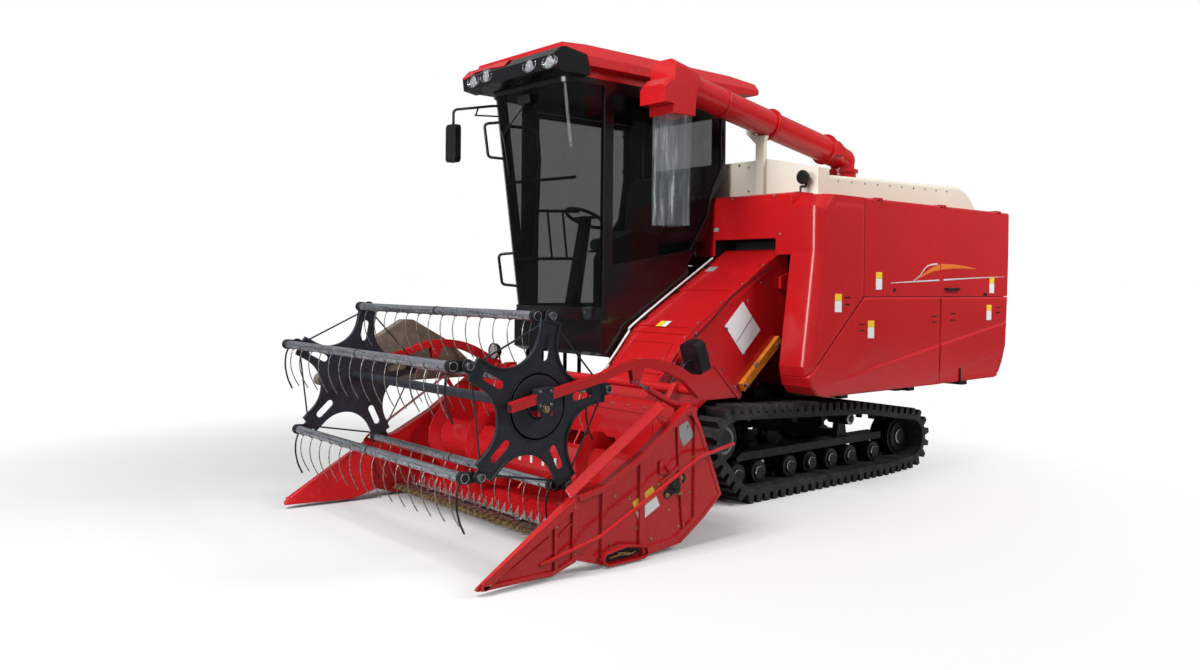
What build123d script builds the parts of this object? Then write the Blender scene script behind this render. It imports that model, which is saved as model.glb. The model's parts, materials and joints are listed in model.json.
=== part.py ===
from build123d import *
from math import atan2, cos, degrees, hypot, radians, sin, tan
import os

# Tracked combine harvester with a cutting header on its front, at full size in millimetres.
# It faces -Y, +X is its left side, +Z is up, and the ground is z = 0.
# The origin lies on the ground, midway between the tracks and midway along the machine.

os.makedirs("parts", exist_ok=True)

# ---------------------------------------------------------------- driving sizes
seat_gap = 0.3            # gap left between pieces that seat on each other
pin_clearance = 0.05      # radial clearance of a running pin
moving_gap = 6.0          # least gap between pieces that move past each other

# tracks
track_gauge = 1110.0      # distance between the middles of the two tracks
track_width = 490.0
belt_thickness = 45.0
lug_height = 60.0
lug_root = 62.0           # length of a lug along the belt at its root
lug_tip = 40.0
lug_pitch = 92.0
horn_height = 36.0        # guide horns on the belt's inside
horn_root = 46.0
horn_tip = 26.0
horn_width = 44.0
roller_radius = 85.0
roller_z = lug_height + belt_thickness + roller_radius
sprocket_y = -485.0
sprocket_z = 468.0
sprocket_radius = 165.0
idler_y = 1815.0
idler_z = 283.0
idler_radius = 160.0
carrier_y = 1076.0
carrier_z = 500.0
carrier_radius = 52.0
# places of the bottom rollers along the track, front to rear
roller_stations = (-318.0, -77.0, 296.0, 568.0, 830.0, 1093.0, 1427.0)
wheel_gap = horn_width / 2 + 8.0      # from the track's middle to a wheel's disc
wheel_disc = 62.0                     # thickness of a wheel's disc along its axle
track_x = track_gauge / 2

# chassis
rail_x = 120.0
rail_width = 80.0
rail_height = 130.0
rail_bottom = 610.0
rail_front = -620.0
rail_rear = 2420.0
frame_beam_half = 70.0    # half the width of a track frame's beam
frame_beam_bottom = 282.0
frame_beam_height = 62.0
cross_beam_stations = (60.0, 1180.0)
cross_beam_size = 90.0

# threshing body and its covers
body_half = 1050.0        # outer faces of the side covers
cover_thickness = 45.0
body_front = 400.0
body_rear = 2900.0
body_bottom = 790.0
body_top = 2318.0
body_right = -300.0       # where the threshing body meets the grain tank
hood_front = 140.0
hood_top = 2350.0
hood_left = 780.0
throat_left = 620.0
throat_right = -30.0
throat_top = 1990.0
seam_gap = 5.0            # gap between neighbouring covers
cover_split = 1818.0      # where the front and rear lower panels meet
cover_seam = 1538.0       # height of the seam between upper and lower covers
rear_face = 3000.0

# grain tank
tank_front = 350.0
tank_left = 780.0
tank_rear = 2885.0
tank_box_top = 2650.0      # the box at the tank's front, and where it falls to at its left end
tank_box_low = 2562.0
tank_box_rear = 600.0
tank_corner_x = 357.0      # the box's front slants back from here to the left side
tank_corner_y = 460.0
tank_top_front = 2510.0    # the tank's roof climbs to the rear
tank_top_rear = 2553.0
tank_roof_end = 2484.0
tank_hopper_bottom = 1505.0

# cab
cab_left = -37.0
cab_right = -1112.0
cab_sill_y = -1170.0      # foot of the windscreen
cab_brow_y = -1425.0      # head of the windscreen
cab_rear = 300.0
cab_bottom = 1345.0
cab_top = 3150.0
cab_corner = 150.0
cab_rear_corner = 60.0
cab_wall = 42.0
glass_inset = 14.0
glass_thickness = 6.0
pillar_y = -1025.0        # middle of the post between the wrapped screen and the side windows
corner_post = (90.0, 170.0)   # right corner post: its edges behind the screen's front
roof_left = 25.0
roof_right = -1195.0
roof_rear = 605.0

# feeder house
feeder_left = 605.0
feeder_right = -15.0
feeder_wall = 10.0
pivot_y = 230.0           # shaft that the feeder house and header swing on
pivot_z = 1640.0
pivot_radius = 35.0

# header
header_left = 1350.0
header_middle = 90.0
side_box = 60.0           # thickness of the header's side structures
header_inner_left = header_left - side_box
header_inner_right = 2 * header_middle - header_inner_left
header_right = 2 * header_middle - header_left
auger_y = -1765.0
auger_z = 402.0
auger_drum = 150.0
flight_radius = 262.0
trough_radius = 285.0
knife_y = -2140.0         # back of the knife
knife_z = 74.0
knife_pitch = 76.2
knife_stroke = 38.1

# reel
reel_y = -2585.0
reel_z = 935.0
reel_radius = 510.0       # from the reel's axis to the bats' pivots
bat_crank = 80.0          # the bats lie this far ahead of their pivots
bat_radius = 27.0
bat_count = 5
bat_phase = 10.7
reel_left = 1200.0        # middle of the left spider
reel_right = 2 * header_middle - reel_left
arm_pivot_y = -1328.0
arm_pivot_z = 937.0
arm_left = 1258.0
arm_right = 2 * header_middle - arm_left
arm_size = 46.0
guard_right = -1290.0       # belt guard beside the right arm
guard_width = 80.0

# unloading auger
unload_x = 300.0
turret_y = 1430.0
turret_z = 2640.0
unload_radius = 112.0
unload_slope = 10.1       # degrees that the tube rises towards the spout
unload_joint_y = 1270.0
unload_joint_z = 2796.0
spout_y = -690.0
spout_foot = 2880.0
spout_half = 135.0        # half the spout's width across the tube
mirror_x, mirror_y, mirror_z = -1385.0, -1565.0, 2762.0


def outline(*points):
    """Face inside straight lines through the given points, in the current sketch."""
    Polygon(*points, align=None)


def along(y, z, slope, distance):
    """Point at a distance from (y, z) towards the front, on a line that rises by slope degrees."""
    return y - distance * cos(radians(slope)), z + distance * sin(radians(slope))


# ---------------------------------------------------------------- tracks
# (y, z, radius) of the wheels that the belt runs round
belt_wheels = (
    (sprocket_y, sprocket_z, sprocket_radius),
    (roller_stations[0], roller_z, roller_radius),
    (roller_stations[-1], roller_z, roller_radius),
    (idler_y, idler_z, idler_radius),
    (carrier_y, carrier_z, carrier_radius),
)


def belt_loop(growth):
    """Face inside a belt stretched round the wheels, at a growth outside their rims."""
    with BuildSketch(Plane.XY) as loop:
        for y, z, radius in belt_wheels:
            with Locations((y, z)):
                Circle(radius + growth)
        make_hull()
    return loop.sketch.faces()[0]


def teeth_round(face, pitch, root, tip, height, outward):
    """Trapezoid teeth set evenly round a face's edge, pointing outward or inward."""
    rim = face.outer_wire()
    count = round(rim.length / pitch)
    sunk = 4.0
    for index in range(count):
        place = rim.position_at(index / count)
        ahead = rim.tangent_at(index / count)
        turn = degrees(atan2(ahead.Y, ahead.X)) + (180 if outward else 0)
        with Locations(Location((place.X, place.Y, 0), turn)):
            Polygon((-root / 2, -sunk), (root / 2, -sunk), (tip / 2, height), (-tip / 2, height),
                    align=None)


belt_outside = belt_loop(belt_thickness)
belt_inside = belt_loop(seat_gap)

with BuildPart() as left_track:
    with BuildSketch(Plane.YZ.offset(track_x - track_width / 2)):
        add(belt_outside)
        teeth_round(belt_outside, lug_pitch, lug_root, lug_tip, lug_height, True)
        add(belt_inside, mode=Mode.SUBTRACT)
    extrude(amount=track_width)
    with BuildSketch(Plane.YZ.offset(track_x - horn_width / 2)):
        teeth_round(belt_inside, 2 * lug_pitch, horn_root, horn_tip, horn_height, False)
    extrude(amount=horn_width)
left_track.part.label = "left_track"
export_step(left_track.part, "parts/left_track.step")

with BuildPart() as right_track:
    mirror(left_track.part, about=Plane.YZ)
right_track.part.label = "right_track"
export_step(right_track.part, "parts/right_track.step")


def wheel_pair(radius, flange, hub, axle):
    """Two discs on one axle, either side of the guide horns, with a hub cap on the outer side."""
    outer = wheel_gap + wheel_disc
    with BuildPart() as pair:
        with BuildSketch(Plane.XY):
            outline((-outer, 0), (-outer, radius), (-wheel_gap, radius), (-wheel_gap, axle),
                    (wheel_gap, axle), (wheel_gap, radius), (outer, radius), (outer, flange),
                    (outer + 14, flange), (outer + 14, hub), (outer + 34, hub * 0.86),
                    (outer + 34, 0))
        revolve(axis=Axis.X)
    return pair.part


roller_axle = 24.0
hub_share = 0.55
plain_roller = wheel_pair(roller_radius, roller_radius * 0.72, roller_radius * hub_share, roller_axle)
flanged_roller = wheel_pair(roller_radius, roller_radius * 0.98, roller_radius * hub_share,
                            roller_axle)
carrier_roller = wheel_pair(carrier_radius, carrier_radius * 0.9, carrier_radius * 0.7, 20)
idler_wheel = wheel_pair(idler_radius, idler_radius * 0.8, 60, roller_axle)
sprocket_wheel = wheel_pair(sprocket_radius, sprocket_radius * 0.8, 90, 60)

with BuildPart() as left_track_wheels:
    for index, station in enumerate(roller_stations):
        with Locations((track_x, station, roller_z)):
            add(plain_roller if index == 3 else flanged_roller)
    with Locations((track_x, carrier_y, carrier_z)):
        add(carrier_roller)
    with Locations((track_x, idler_y, idler_z)):
        add(idler_wheel)
    with Locations((track_x, sprocket_y, sprocket_z)):
        add(sprocket_wheel)
left_track_wheels.part.label = "left_track_wheels"
export_step(left_track_wheels.part, "parts/left_track_wheels.step")

with BuildPart() as right_track_wheels:
    mirror(left_track_wheels.part, about=Plane.YZ)
right_track_wheels.part.label = "right_track_wheels"
export_step(right_track_wheels.part, "parts/right_track_wheels.step")

# Each track frame is a beam over the rollers, with a hanger down to every axle,
# a post up to the carrier roller and a fork back to the idler.
hanger_half = wheel_gap - 2.0
hanger_length = 52.0
axle_bore = roller_axle + seat_gap
beam_top = frame_beam_bottom + frame_beam_height
beam_front = sprocket_y + sprocket_radius + 30
with BuildPart() as left_track_frame:
    with BuildSketch(Plane.YZ.offset(track_x - frame_beam_half)):
        outline((beam_front, frame_beam_bottom), (idler_y - 230, frame_beam_bottom),
                (idler_y - 230, beam_top), (beam_front + 60, beam_top), (beam_front, beam_top - 30))
    extrude(amount=2 * frame_beam_half)
    with BuildSketch(Plane.YZ.offset(track_x - hanger_half)):
        for station in roller_stations:
            root = max(station, beam_front + hanger_length)
            outline((root - hanger_length, frame_beam_bottom + 5),
                    (station - 34, roller_z - 34), (station + 34, roller_z - 34),
                    (root + hanger_length, frame_beam_bottom + 5))
        outline((carrier_y - 70, beam_top - 5), (carrier_y + 70, beam_top - 5),
                (carrier_y + 32, carrier_z + 30), (carrier_y - 32, carrier_z + 30))
        outline((idler_y - 235, frame_beam_bottom + 5), (idler_y + 40, idler_z - 38),
                (idler_y + 40, idler_z + 38), (idler_y - 235, beam_top - 5))
        for station in roller_stations:
            with Locations((station, roller_z)):
                Circle(axle_bore, mode=Mode.SUBTRACT)
        with Locations((carrier_y, carrier_z)):
            Circle(20 + seat_gap, mode=Mode.SUBTRACT)
        with Locations((idler_y, idler_z)):
            Circle(axle_bore, mode=Mode.SUBTRACT)
    extrude(amount=2 * hanger_half)
left_track_frame.part.label = "left_track_frame"
export_step(left_track_frame.part, "parts/left_track_frame.step")

with BuildPart() as right_track_frame:
    mirror(left_track_frame.part, about=Plane.YZ)
right_track_frame.part.label = "right_track_frame"
export_step(right_track_frame.part, "parts/right_track_frame.step")

# ---------------------------------------------------------------- chassis
beam_inner = track_x - frame_beam_half - seat_gap
drive_reach = track_x - wheel_gap - wheel_disc - seat_gap
lift_foot_y = 330.0       # pivot of the header's lift cylinder on the chassis
lift_foot_z = 806.0
lift_x = 230.0
drawbar_y = 2480.0
drawbar_z = 660.0
drawbar_radius = 16.0
# (place along the machine, right end, left end) of the bearers that carry the body and the engine
bearers = ((-60.0, -980.0, 160.0), (560.0, -980.0, 980.0), (1500.0, -980.0, 980.0),
           (rail_rear - 60, -980.0, 980.0))
with BuildPart() as chassis_frame:
    with BuildSketch(Plane.YZ.offset(rail_x - rail_width / 2)) as rail:
        outline((rail_front, rail_bottom), (rail_rear, rail_bottom),
                (rail_rear, rail_bottom + rail_height), (rail_front, rail_bottom + rail_height))
    extrude(amount=rail_width)
    mirror(about=Plane.YZ)
    # cross members between the rails, and bearers over the tracks for the body and the engine
    for station, reach in ((-560.0, rail_x + 20), (700.0, 300.0), (1500.0, 300.0),
                           (rail_rear - 60, 300.0)):
        with Locations((0, station, rail_bottom + rail_height / 2)):
            Box(2 * reach, 90, rail_height - 20)
    for station, right, left in bearers:
        with BuildSketch(Plane.XZ.offset(-station - 45)):
            outline((right, rail_bottom + rail_height - 2), (left, rail_bottom + rail_height - 2),
                    (left, body_bottom - seat_gap), (right, body_bottom - seat_gap))
        extrude(amount=90)
    # beams that carry the track frames
    for station in cross_beam_stations:
        with Locations((0, station, frame_beam_bottom + cross_beam_size / 2 + 5)):
            Box(2 * beam_inner, cross_beam_size, cross_beam_size)
        for side in (-1, 1):
            with BuildSketch(Plane.XZ.offset(-station - 45)):
                outline((side * 60, frame_beam_bottom + 60), (side * 250, frame_beam_bottom + 60),
                        (side * (rail_x + 40), rail_bottom + 10), (side * (rail_x - 40), rail_bottom + 10))
            extrude(amount=90)
    # gearbox and axle tubes that drive the sprockets
    with BuildSketch(Plane.YZ.offset(-170)):
        outline((sprocket_y - 130, sprocket_z - 60), (sprocket_y - 60, sprocket_z - 130),
                (sprocket_y + 120, sprocket_z - 130), (sprocket_y + 170, sprocket_z - 60),
                (sprocket_y + 170, rail_bottom + 20), (sprocket_y - 100, rail_bottom + 20),
                (sprocket_y - 130, sprocket_z + 60))
    extrude(amount=340)
    with BuildSketch(Plane.YZ.offset(-drive_reach)):
        with Locations((sprocket_y, sprocket_z)):
            Circle(82)
    extrude(amount=2 * drive_reach)
    # ears for the header's lift cylinder
    with BuildSketch(Plane.YZ.offset(lift_x - 62)):
        outline((lift_foot_y - 60, rail_bottom + 20), (lift_foot_y + 180, rail_bottom + 20),
                (lift_foot_y + 40, lift_foot_z + 34), (lift_foot_y - 34, lift_foot_z + 34))
        with Locations((lift_foot_y, lift_foot_z)):
            Circle(18 + pin_clearance, mode=Mode.SUBTRACT)
    extrude(amount=22)
    with BuildSketch(Plane.YZ.offset(lift_x + 40)):
        outline((lift_foot_y - 60, rail_bottom + 20), (lift_foot_y + 180, rail_bottom + 20),
                (lift_foot_y + 40, lift_foot_z + 34), (lift_foot_y - 34, lift_foot_z + 34))
        with Locations((lift_foot_y, lift_foot_z)):
            Circle(18 + pin_clearance, mode=Mode.SUBTRACT)
    extrude(amount=22)
    with Locations((lift_x - 9, lift_foot_y + 60, rail_bottom + 50)):
        Box(142, 240, 60)
    # drawbar eye at the rear
    with BuildSketch(Plane.XY.offset(drawbar_z - 15)):
        outline((-80, rail_rear - 130), (80, rail_rear - 130), (45, drawbar_y + 45),
                (-45, drawbar_y + 45))
        with Locations((0, drawbar_y)):
            Circle(drawbar_radius, mode=Mode.SUBTRACT)
    extrude(amount=30)
chassis_frame.part.label = "chassis_frame"
export_step(chassis_frame.part, "parts/chassis_frame.step")

# ---------------------------------------------------------------- door hinges
hinge_offset = 12.0
hinge_radius = 11.0
hinge_pin = 6.0
cab_hinge_y = 107.5
cab_hinge_levels = (2640.0, 2960.0)
engine_hinge_y = 900.0
engine_hinge_levels = (960.0, 1380.0)


def hinge_fixed(x, y, level):
    """Two knuckles with a pin through them, their leaves reaching back and in from the pin."""
    with BuildPart() as half:
        for start in (level - 34, level + 12.3):
            with BuildSketch(Plane.XY.offset(start)):
                with Locations((x, y)):
                    Circle(hinge_radius)
                with Locations((x + 9, y + 20)):
                    Rectangle(40, 32)
            extrude(amount=21.7)
        with BuildSketch(Plane.XY.offset(level - 34)):
            with Locations((x, y)):
                Circle(hinge_pin)
        extrude(amount=68)
    return half.part


def hinge_swung(x, y, level):
    """Knuckle that turns on the pin, its leaf reaching forward onto the door's face."""
    with BuildPart() as half:
        with BuildSketch(Plane.XY.offset(level - 12)):
            with Locations((x, y)):
                Circle(hinge_radius)
            with Locations((x + 2, y - 24)):
                Rectangle(26, 40)
            with Locations((x, y)):
                Circle(hinge_pin + pin_clearance, mode=Mode.SUBTRACT)
        extrude(amount=24)
    return half.part


# places along the upper side door of its three hinges, on the edge it turns about
side_hinge_stations = (900.0, 1850.0, 2800.0)
side_hinge_radius = 11.0


def side_hinge_fixed(y):
    """Two knuckles with a pin through them, on a leaf that comes over the door's top edge."""
    with BuildPart() as half:
        for start in (y - 34, y + 12.3):
            with BuildSketch(Plane.XZ.offset(-start - 21.7)):
                with Locations((body_half, body_top)):
                    Circle(side_hinge_radius)
                outline((body_half - 95, body_top - 3), (body_half - 50, body_top - 3),
                        (body_half - 50, body_top + 4), (body_half, body_top + 4),
                        (body_half, body_top + side_hinge_radius), (body_half - 95, body_top + side_hinge_radius))
            extrude(amount=21.7)
        with BuildSketch(Plane.XZ.offset(-y - 34)):
            with Locations((body_half, body_top)):
                Circle(hinge_pin)
        extrude(amount=68)
    return half.part


def side_hinge_swung(y):
    """Knuckle that turns on the pin, sunk in the door's top edge."""
    with BuildPart() as half:
        with BuildSketch(Plane.XZ.offset(-y - 12)):
            with Locations((body_half, body_top)):
                Circle(side_hinge_radius)
            outline((body_half - 20, body_top - 22), (body_half - 2, body_top - 22),
                    (body_half + side_hinge_radius - 1, body_top - 4), (body_half - 6, body_top + 8))
        extrude(amount=24)
        with BuildSketch(Plane.XZ.offset(-y - 12)):
            with Locations((body_half, body_top)):
                Circle(hinge_pin + pin_clearance)
        extrude(amount=24, mode=Mode.SUBTRACT)
    return half.part


# ---------------------------------------------------------------- threshing body and engine
ear_inner_left = feeder_left + moving_gap
ear_inner_right = feeder_right - moving_gap
ear_thickness = 30.0
cover_inner = body_half - cover_thickness
with BuildPart() as threshing_body:
    with BuildSketch(Plane.YZ.offset(body_right)):
        outline((body_front, 1500), (body_front + 160, body_bottom), (body_rear, body_bottom),
                (body_rear, body_top), (body_front, body_top))
    extrude(amount=cover_inner - seat_gap - body_right)
    # throat behind the feeder house
    with BuildSketch(Plane.YZ.offset(feeder_right + 30)):
        outline((body_front - 10, 1330), (body_front + 420, 1500), (body_front + 420, 1850),
                (body_front - 10, 1900))
    extrude(amount=feeder_left - feeder_right - 60, mode=Mode.SUBTRACT)
    # ears that the feeder house swings in
    for start in (ear_inner_left, ear_inner_right - ear_thickness):
        with BuildSketch(Plane.YZ.offset(start)):
            outline((pivot_y - 45, pivot_z - 45), (body_front + 10, pivot_z - 120),
                    (body_front + 10, pivot_z + 120), (pivot_y - 45, pivot_z + 45))
            with Locations((pivot_y, pivot_z)):
                Circle(pivot_radius + pin_clearance, mode=Mode.SUBTRACT)
        extrude(amount=ear_thickness)
    # fixed halves of the upper side door's hinges
    for station in side_hinge_stations:
        add(side_hinge_fixed(station))
threshing_body.part.label = "threshing_body"
export_step(threshing_body.part, "parts/threshing_body.step")

engine_front = -120.0
engine_rear = 620.0
with BuildPart() as engine:
    with BuildSketch(Plane.YZ.offset(-960)):
        outline((engine_front, body_bottom), (engine_rear, body_bottom), (engine_rear, 1440),
                (engine_front + 90, 1440), (engine_front, 1300))
    extrude(amount=620)
engine.part.label = "engine"
export_step(engine.part, "parts/engine.step")

# ---------------------------------------------------------------- body covers
hood_corner = 230.0
with BuildPart() as front_hood:
    with BuildSketch(Plane.XZ.offset(-hood_front)):
        with BuildLine():
            Polyline((hood_left, hood_top), (-310 + hood_corner, hood_top))
            RadiusArc((-310 + hood_corner, hood_top), (-310, hood_top - hood_corner), -hood_corner)
            Polyline((-310, hood_top - hood_corner), (-310, 1855), (throat_right, 1855),
                     (throat_right, throat_top), (throat_left, throat_top), (throat_left, 1860),
                     (hood_left, 1860), (hood_left, hood_top))
        make_face()
    extrude(amount=-(body_front - seat_gap - hood_front))
    hood_edges = front_hood.edges().filter_by(lambda e: e.center().Y < hood_front + 1
                                              and e.center().Z > hood_top - hood_corner)
    fillet(hood_edges, 70)
front_hood.part.label = "front_hood"
export_step(front_hood.part, "parts/front_hood.step")

# profile of the left side, seen from the side
nose_top = (235.0, hood_top - 30)
seam_start = (20.0, 935.0)          # where the slanted seam leaves the front edge
seam_end = (700.0, cover_seam)
belly = 775.0                       # lower edge of the panels
with BuildPart() as front_side_cover:
    with BuildSketch(Plane.YZ.offset(hood_left + seat_gap)):
        outline((seam_end[0], body_top), nose_top, (hood_front - 10, 2225), (hood_front - 10, 1880),
                (seam_start[0] - 15, 1010), seam_start, seam_end)
    extrude(amount=body_half - hood_left - seat_gap)
    front_edges = front_side_cover.edges().filter_by(
        lambda e: e.center().X > body_half - 1 and e.center().Y < nose_top[0]
        and e.center().Z > seam_start[1] + 5)
    fillet(front_edges, 80)
    with BuildSketch(Plane.YZ.offset(hood_left - 10)):
        outline((body_front - seat_gap, body_bottom), (seam_end[0] + 50, body_bottom),
                (seam_end[0] + 50, 2400), (body_front - seat_gap, 2400))
    extrude(amount=cover_inner - hood_left + 10, mode=Mode.SUBTRACT)
front_side_cover.part.label = "front_side_cover"
export_step(front_side_cover.part, "parts/front_side_cover.step")

# lower panels: the front one wraps round the corner, and both have a crease that steps in
crease = ((560.0, 930.0), (body_rear + 20, 1297.0))
crease_depth = 14.0
with BuildPart() as lower_side_panels:
    with BuildSketch(Plane.YZ.offset(hood_left + seat_gap)):
        outline((seam_start[0], seam_start[1] - seam_gap), (45, 860), (110, 800), (215, belly),
                (cover_split - seam_gap / 2, belly + 8), (cover_split - seam_gap / 2, cover_seam - seam_gap),
                (seam_end[0] + 4, cover_seam - seam_gap))
    extrude(amount=body_half - hood_left - seat_gap)
    with BuildSketch(Plane.YZ.offset(hood_left - 10)):
        outline((body_front - seat_gap, belly - 20), (cover_split + 50, belly - 20),
                (cover_split + 50, cover_seam + 50), (body_front - seat_gap, cover_seam + 50))
    extrude(amount=cover_inner - hood_left + 10, mode=Mode.SUBTRACT)
    with BuildSketch(Plane.YZ.offset(cover_inner)):
        outline((cover_split + seam_gap / 2, belly + 8), (2770, belly + 15), (2962, 1070),
                (rear_face - 12, cover_seam - seam_gap), (cover_split + seam_gap / 2, cover_seam - seam_gap))
    extrude(amount=cover_thickness)
    with BuildSketch(Plane.YZ.offset(body_half - crease_depth)):
        outline(crease[0], crease[1], (crease[1][0], crease[1][1] - 240), (2800, belly + 60),
                (700, belly + 50))
    extrude(amount=crease_depth + 5, mode=Mode.SUBTRACT)
lower_side_panels.part.label = "lower_side_panels"
export_step(lower_side_panels.part, "parts/lower_side_panels.step")

with BuildPart() as upper_side_door:
    with BuildSketch(Plane.YZ.offset(cover_inner)):
        outline((seam_end[0] + seam_gap, cover_seam), (rear_face - 12, cover_seam),
                (rear_face, 1900), (rear_face, body_top), (seam_end[0] + seam_gap, body_top))
    extrude(amount=cover_thickness)
    handle_edges = upper_side_door.edges().filter_by(Axis.Y).group_by(Axis.Z)[-1].sort_by(Axis.X)[-1]
    chamfer(handle_edges, 12)
    # hinges in notches along the top edge
    for station in side_hinge_stations:
        with BuildSketch(Plane.XZ.offset(-station - 40)):
            outline((cover_inner - 5, body_top - 4), (body_half - 20, body_top - 4),
                    (body_half - 20, body_top - 18), (body_half + 20, body_top - 18),
                    (body_half + 20, body_top + 20), (cover_inner - 5, body_top + 20))
        extrude(amount=80, mode=Mode.SUBTRACT)
        add(side_hinge_swung(station))
    # bow handle near the lower edge
    with BuildSketch(Plane.XY.offset(1594)):
        with BuildLine():
            Polyline((body_half - 5, 1920), (body_half + 28, 1930), (body_half + 28, 2055),
                     (body_half - 5, 2065), (body_half - 5, 2053), (body_half + 16, 2045),
                     (body_half + 16, 1940), (body_half - 5, 1932), close=True)
        make_face()
    extrude(amount=16)
upper_side_door.part.label = "upper_side_door"
export_step(upper_side_door.part, "parts/upper_side_door.step")

with BuildPart() as rear_hood:
    with BuildSketch(Plane.YZ.offset(-cover_inner + 50)):
        outline((body_rear + seat_gap, body_top - 10), (rear_face - 60, body_top - 10),
                (rear_face - 6, body_top - 70), (rear_face - 20, 1250), (body_rear + seat_gap, 1150))
    extrude(amount=2 * cover_inner - 100)
    # mouth that the straw leaves by
    with BuildSketch(Plane.XZ.offset(-rear_face)):
        with Locations((380, 1330)):
            Rectangle(900, 300)
    extrude(amount=80, mode=Mode.SUBTRACT)
    with BuildSketch(Plane.YZ.offset(cover_inner - 50)):
        outline((body_rear + 20, 1250), (rear_face + 25, 1250), (rear_face + 25, 1600),
                (body_rear + 20, 1600))
    extrude(amount=40)
    # deflector over the mouth
    with BuildSketch(Plane.YZ.offset(-120)):
        outline((rear_face - 30, 1560), (rear_face - 30, 1500), (rear_face + 95, 1440),
                (rear_face + 95, 1456), (rear_face - 10, 1560))
    extrude(amount=1000)
rear_hood.part.label = "rear_hood"
export_step(rear_hood.part, "parts/rear_hood.step")

# ---------------------------------------------------------------- grain tank and right side
with BuildPart() as grain_tank:
    with BuildSketch(Plane.YZ.offset(-body_half)):
        with BuildLine():
            Polyline((tank_front, hood_top + seat_gap), (tank_front, tank_top_front),
                     (tank_corner_y, tank_top_front), (tank_roof_end, tank_top_rear))
            RadiusArc((tank_roof_end, tank_top_rear), (tank_rear, body_top + 40), 430)
            Polyline((tank_rear, body_top + 40), (tank_rear, body_top + seat_gap),
                     (body_front + 5, body_top + seat_gap), (body_front + 5, hood_top + seat_gap),
                     (tank_front, hood_top + seat_gap))
        make_face()
    extrude(amount=body_half + tank_left)
    top_edges = grain_tank.edges().filter_by(
        lambda e: e.center().X > tank_left - 1 and e.center().Z > tank_top_front - 100
        and e.center().Y > 700)
    fillet(top_edges, 30)
    # taller box across the front
    with BuildSketch(Plane.XZ.offset(-tank_front)):
        outline((-body_half, tank_top_front - 40), (tank_left, tank_top_front - 40),
                (tank_left, tank_box_low), (tank_corner_x, tank_box_top), (-body_half, tank_box_top))
    extrude(amount=tank_front - tank_box_rear)
    with BuildSketch(Plane.XY.offset(hood_top)):
        outline((tank_corner_x, tank_front - 1), (tank_left + 1, tank_front - 1),
                (tank_left + 1, tank_corner_y))
    extrude(amount=400, mode=Mode.SUBTRACT)
    # hopper on the right side
    with BuildSketch(Plane.YZ.offset(-body_half)):
        outline((900, tank_hopper_bottom), (tank_rear, tank_hopper_bottom),
                (tank_rear, body_top + 5), (900, body_top + 5))
    extrude(amount=body_half + body_right - seat_gap)
grain_tank.part.label = "grain_tank"
export_step(grain_tank.part, "parts/grain_tank.step")

with BuildPart() as right_side_panels:
    with BuildSketch(Plane.YZ.offset(-body_half)):
        outline((905, 800), (2770, 800), (2900, 1000), (2900, tank_hopper_bottom - seam_gap),
                (905, tank_hopper_bottom - seam_gap))
    extrude(amount=cover_thickness)
    with BuildSketch(Plane.YZ.offset(-body_half)):
        outline((cab_rear + 30, 1800), (900 - seat_gap, 1800), (900 - seat_gap, body_top),
                (cab_rear + 30, body_top))
    extrude(amount=cover_thickness)
    # knuckles and pins that the engine door swings on
    for level in engine_hinge_levels:
        add(hinge_fixed(-body_half - hinge_offset, engine_hinge_y, level))
    # frame behind the panels, on the engine deck
    with BuildSketch(Plane.YZ.offset(-body_half + cover_thickness)):
        outline((905, body_bottom), (2700, body_bottom), (2700, 1490), (905, 1490))
    extrude(amount=body_half - cover_thickness + body_right - seat_gap)
right_side_panels.part.label = "right_side_panels"
export_step(right_side_panels.part, "parts/right_side_panels.step")

engine_door_rear = 895.0
with BuildPart() as engine_door:
    with BuildSketch(Plane.YZ.offset(-body_half)):
        outline((-140, 840), (engine_door_rear, 800), (engine_door_rear, 1795), (-140, 1795))
        # screened air inlet
        with Locations((380, 1380)):
            Rectangle(620, 560, mode=Mode.SUBTRACT)
    extrude(amount=cover_thickness)
    slat_count = 9
    for index in range(slat_count):
        level = 1100 + 560 * (index + 0.5) / slat_count
        with BuildSketch(Plane.YZ.offset(-body_half + 10)):
            with Locations((380, level)):
                Rectangle(624, 34)
        extrude(amount=10)
    for level in engine_hinge_levels:
        add(hinge_swung(-body_half - hinge_offset, engine_hinge_y, level))
engine_door.part.label = "engine_door"
export_step(engine_door.part, "parts/engine_door.step")

# ---------------------------------------------------------------- cab
def cab_outline(level, front, inset):
    """Rounded plan of the cab at a height, drawn in by an inset."""
    with BuildSketch(Plane.XY.offset(level)) as plan:
        width = cab_left - cab_right - 2 * inset
        depth = cab_rear - front - 2 * inset
        middle = (cab_left + cab_right) / 2
        with Locations((middle, (cab_rear + front) / 2)):
            RectangleRounded(width, depth, cab_corner - inset)
        # tighter corners at the rear
        with Locations((middle, cab_rear - inset - 200)):
            RectangleRounded(width, 400, cab_rear_corner - inset)
    return plan.sketch


def cab_block(inset, bottom, top):
    """The cab's outer form drawn in by an inset: it leans forward from the sill to the brow."""
    lean = (cab_brow_y - cab_sill_y) / (cab_top - cab_bottom)
    with BuildPart() as block:
        add(cab_outline(bottom, cab_sill_y + lean * (bottom - cab_bottom), inset))
        add(cab_outline(top, cab_sill_y + lean * (top - cab_bottom), inset))
        loft(ruled=True)
    return block.part


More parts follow.
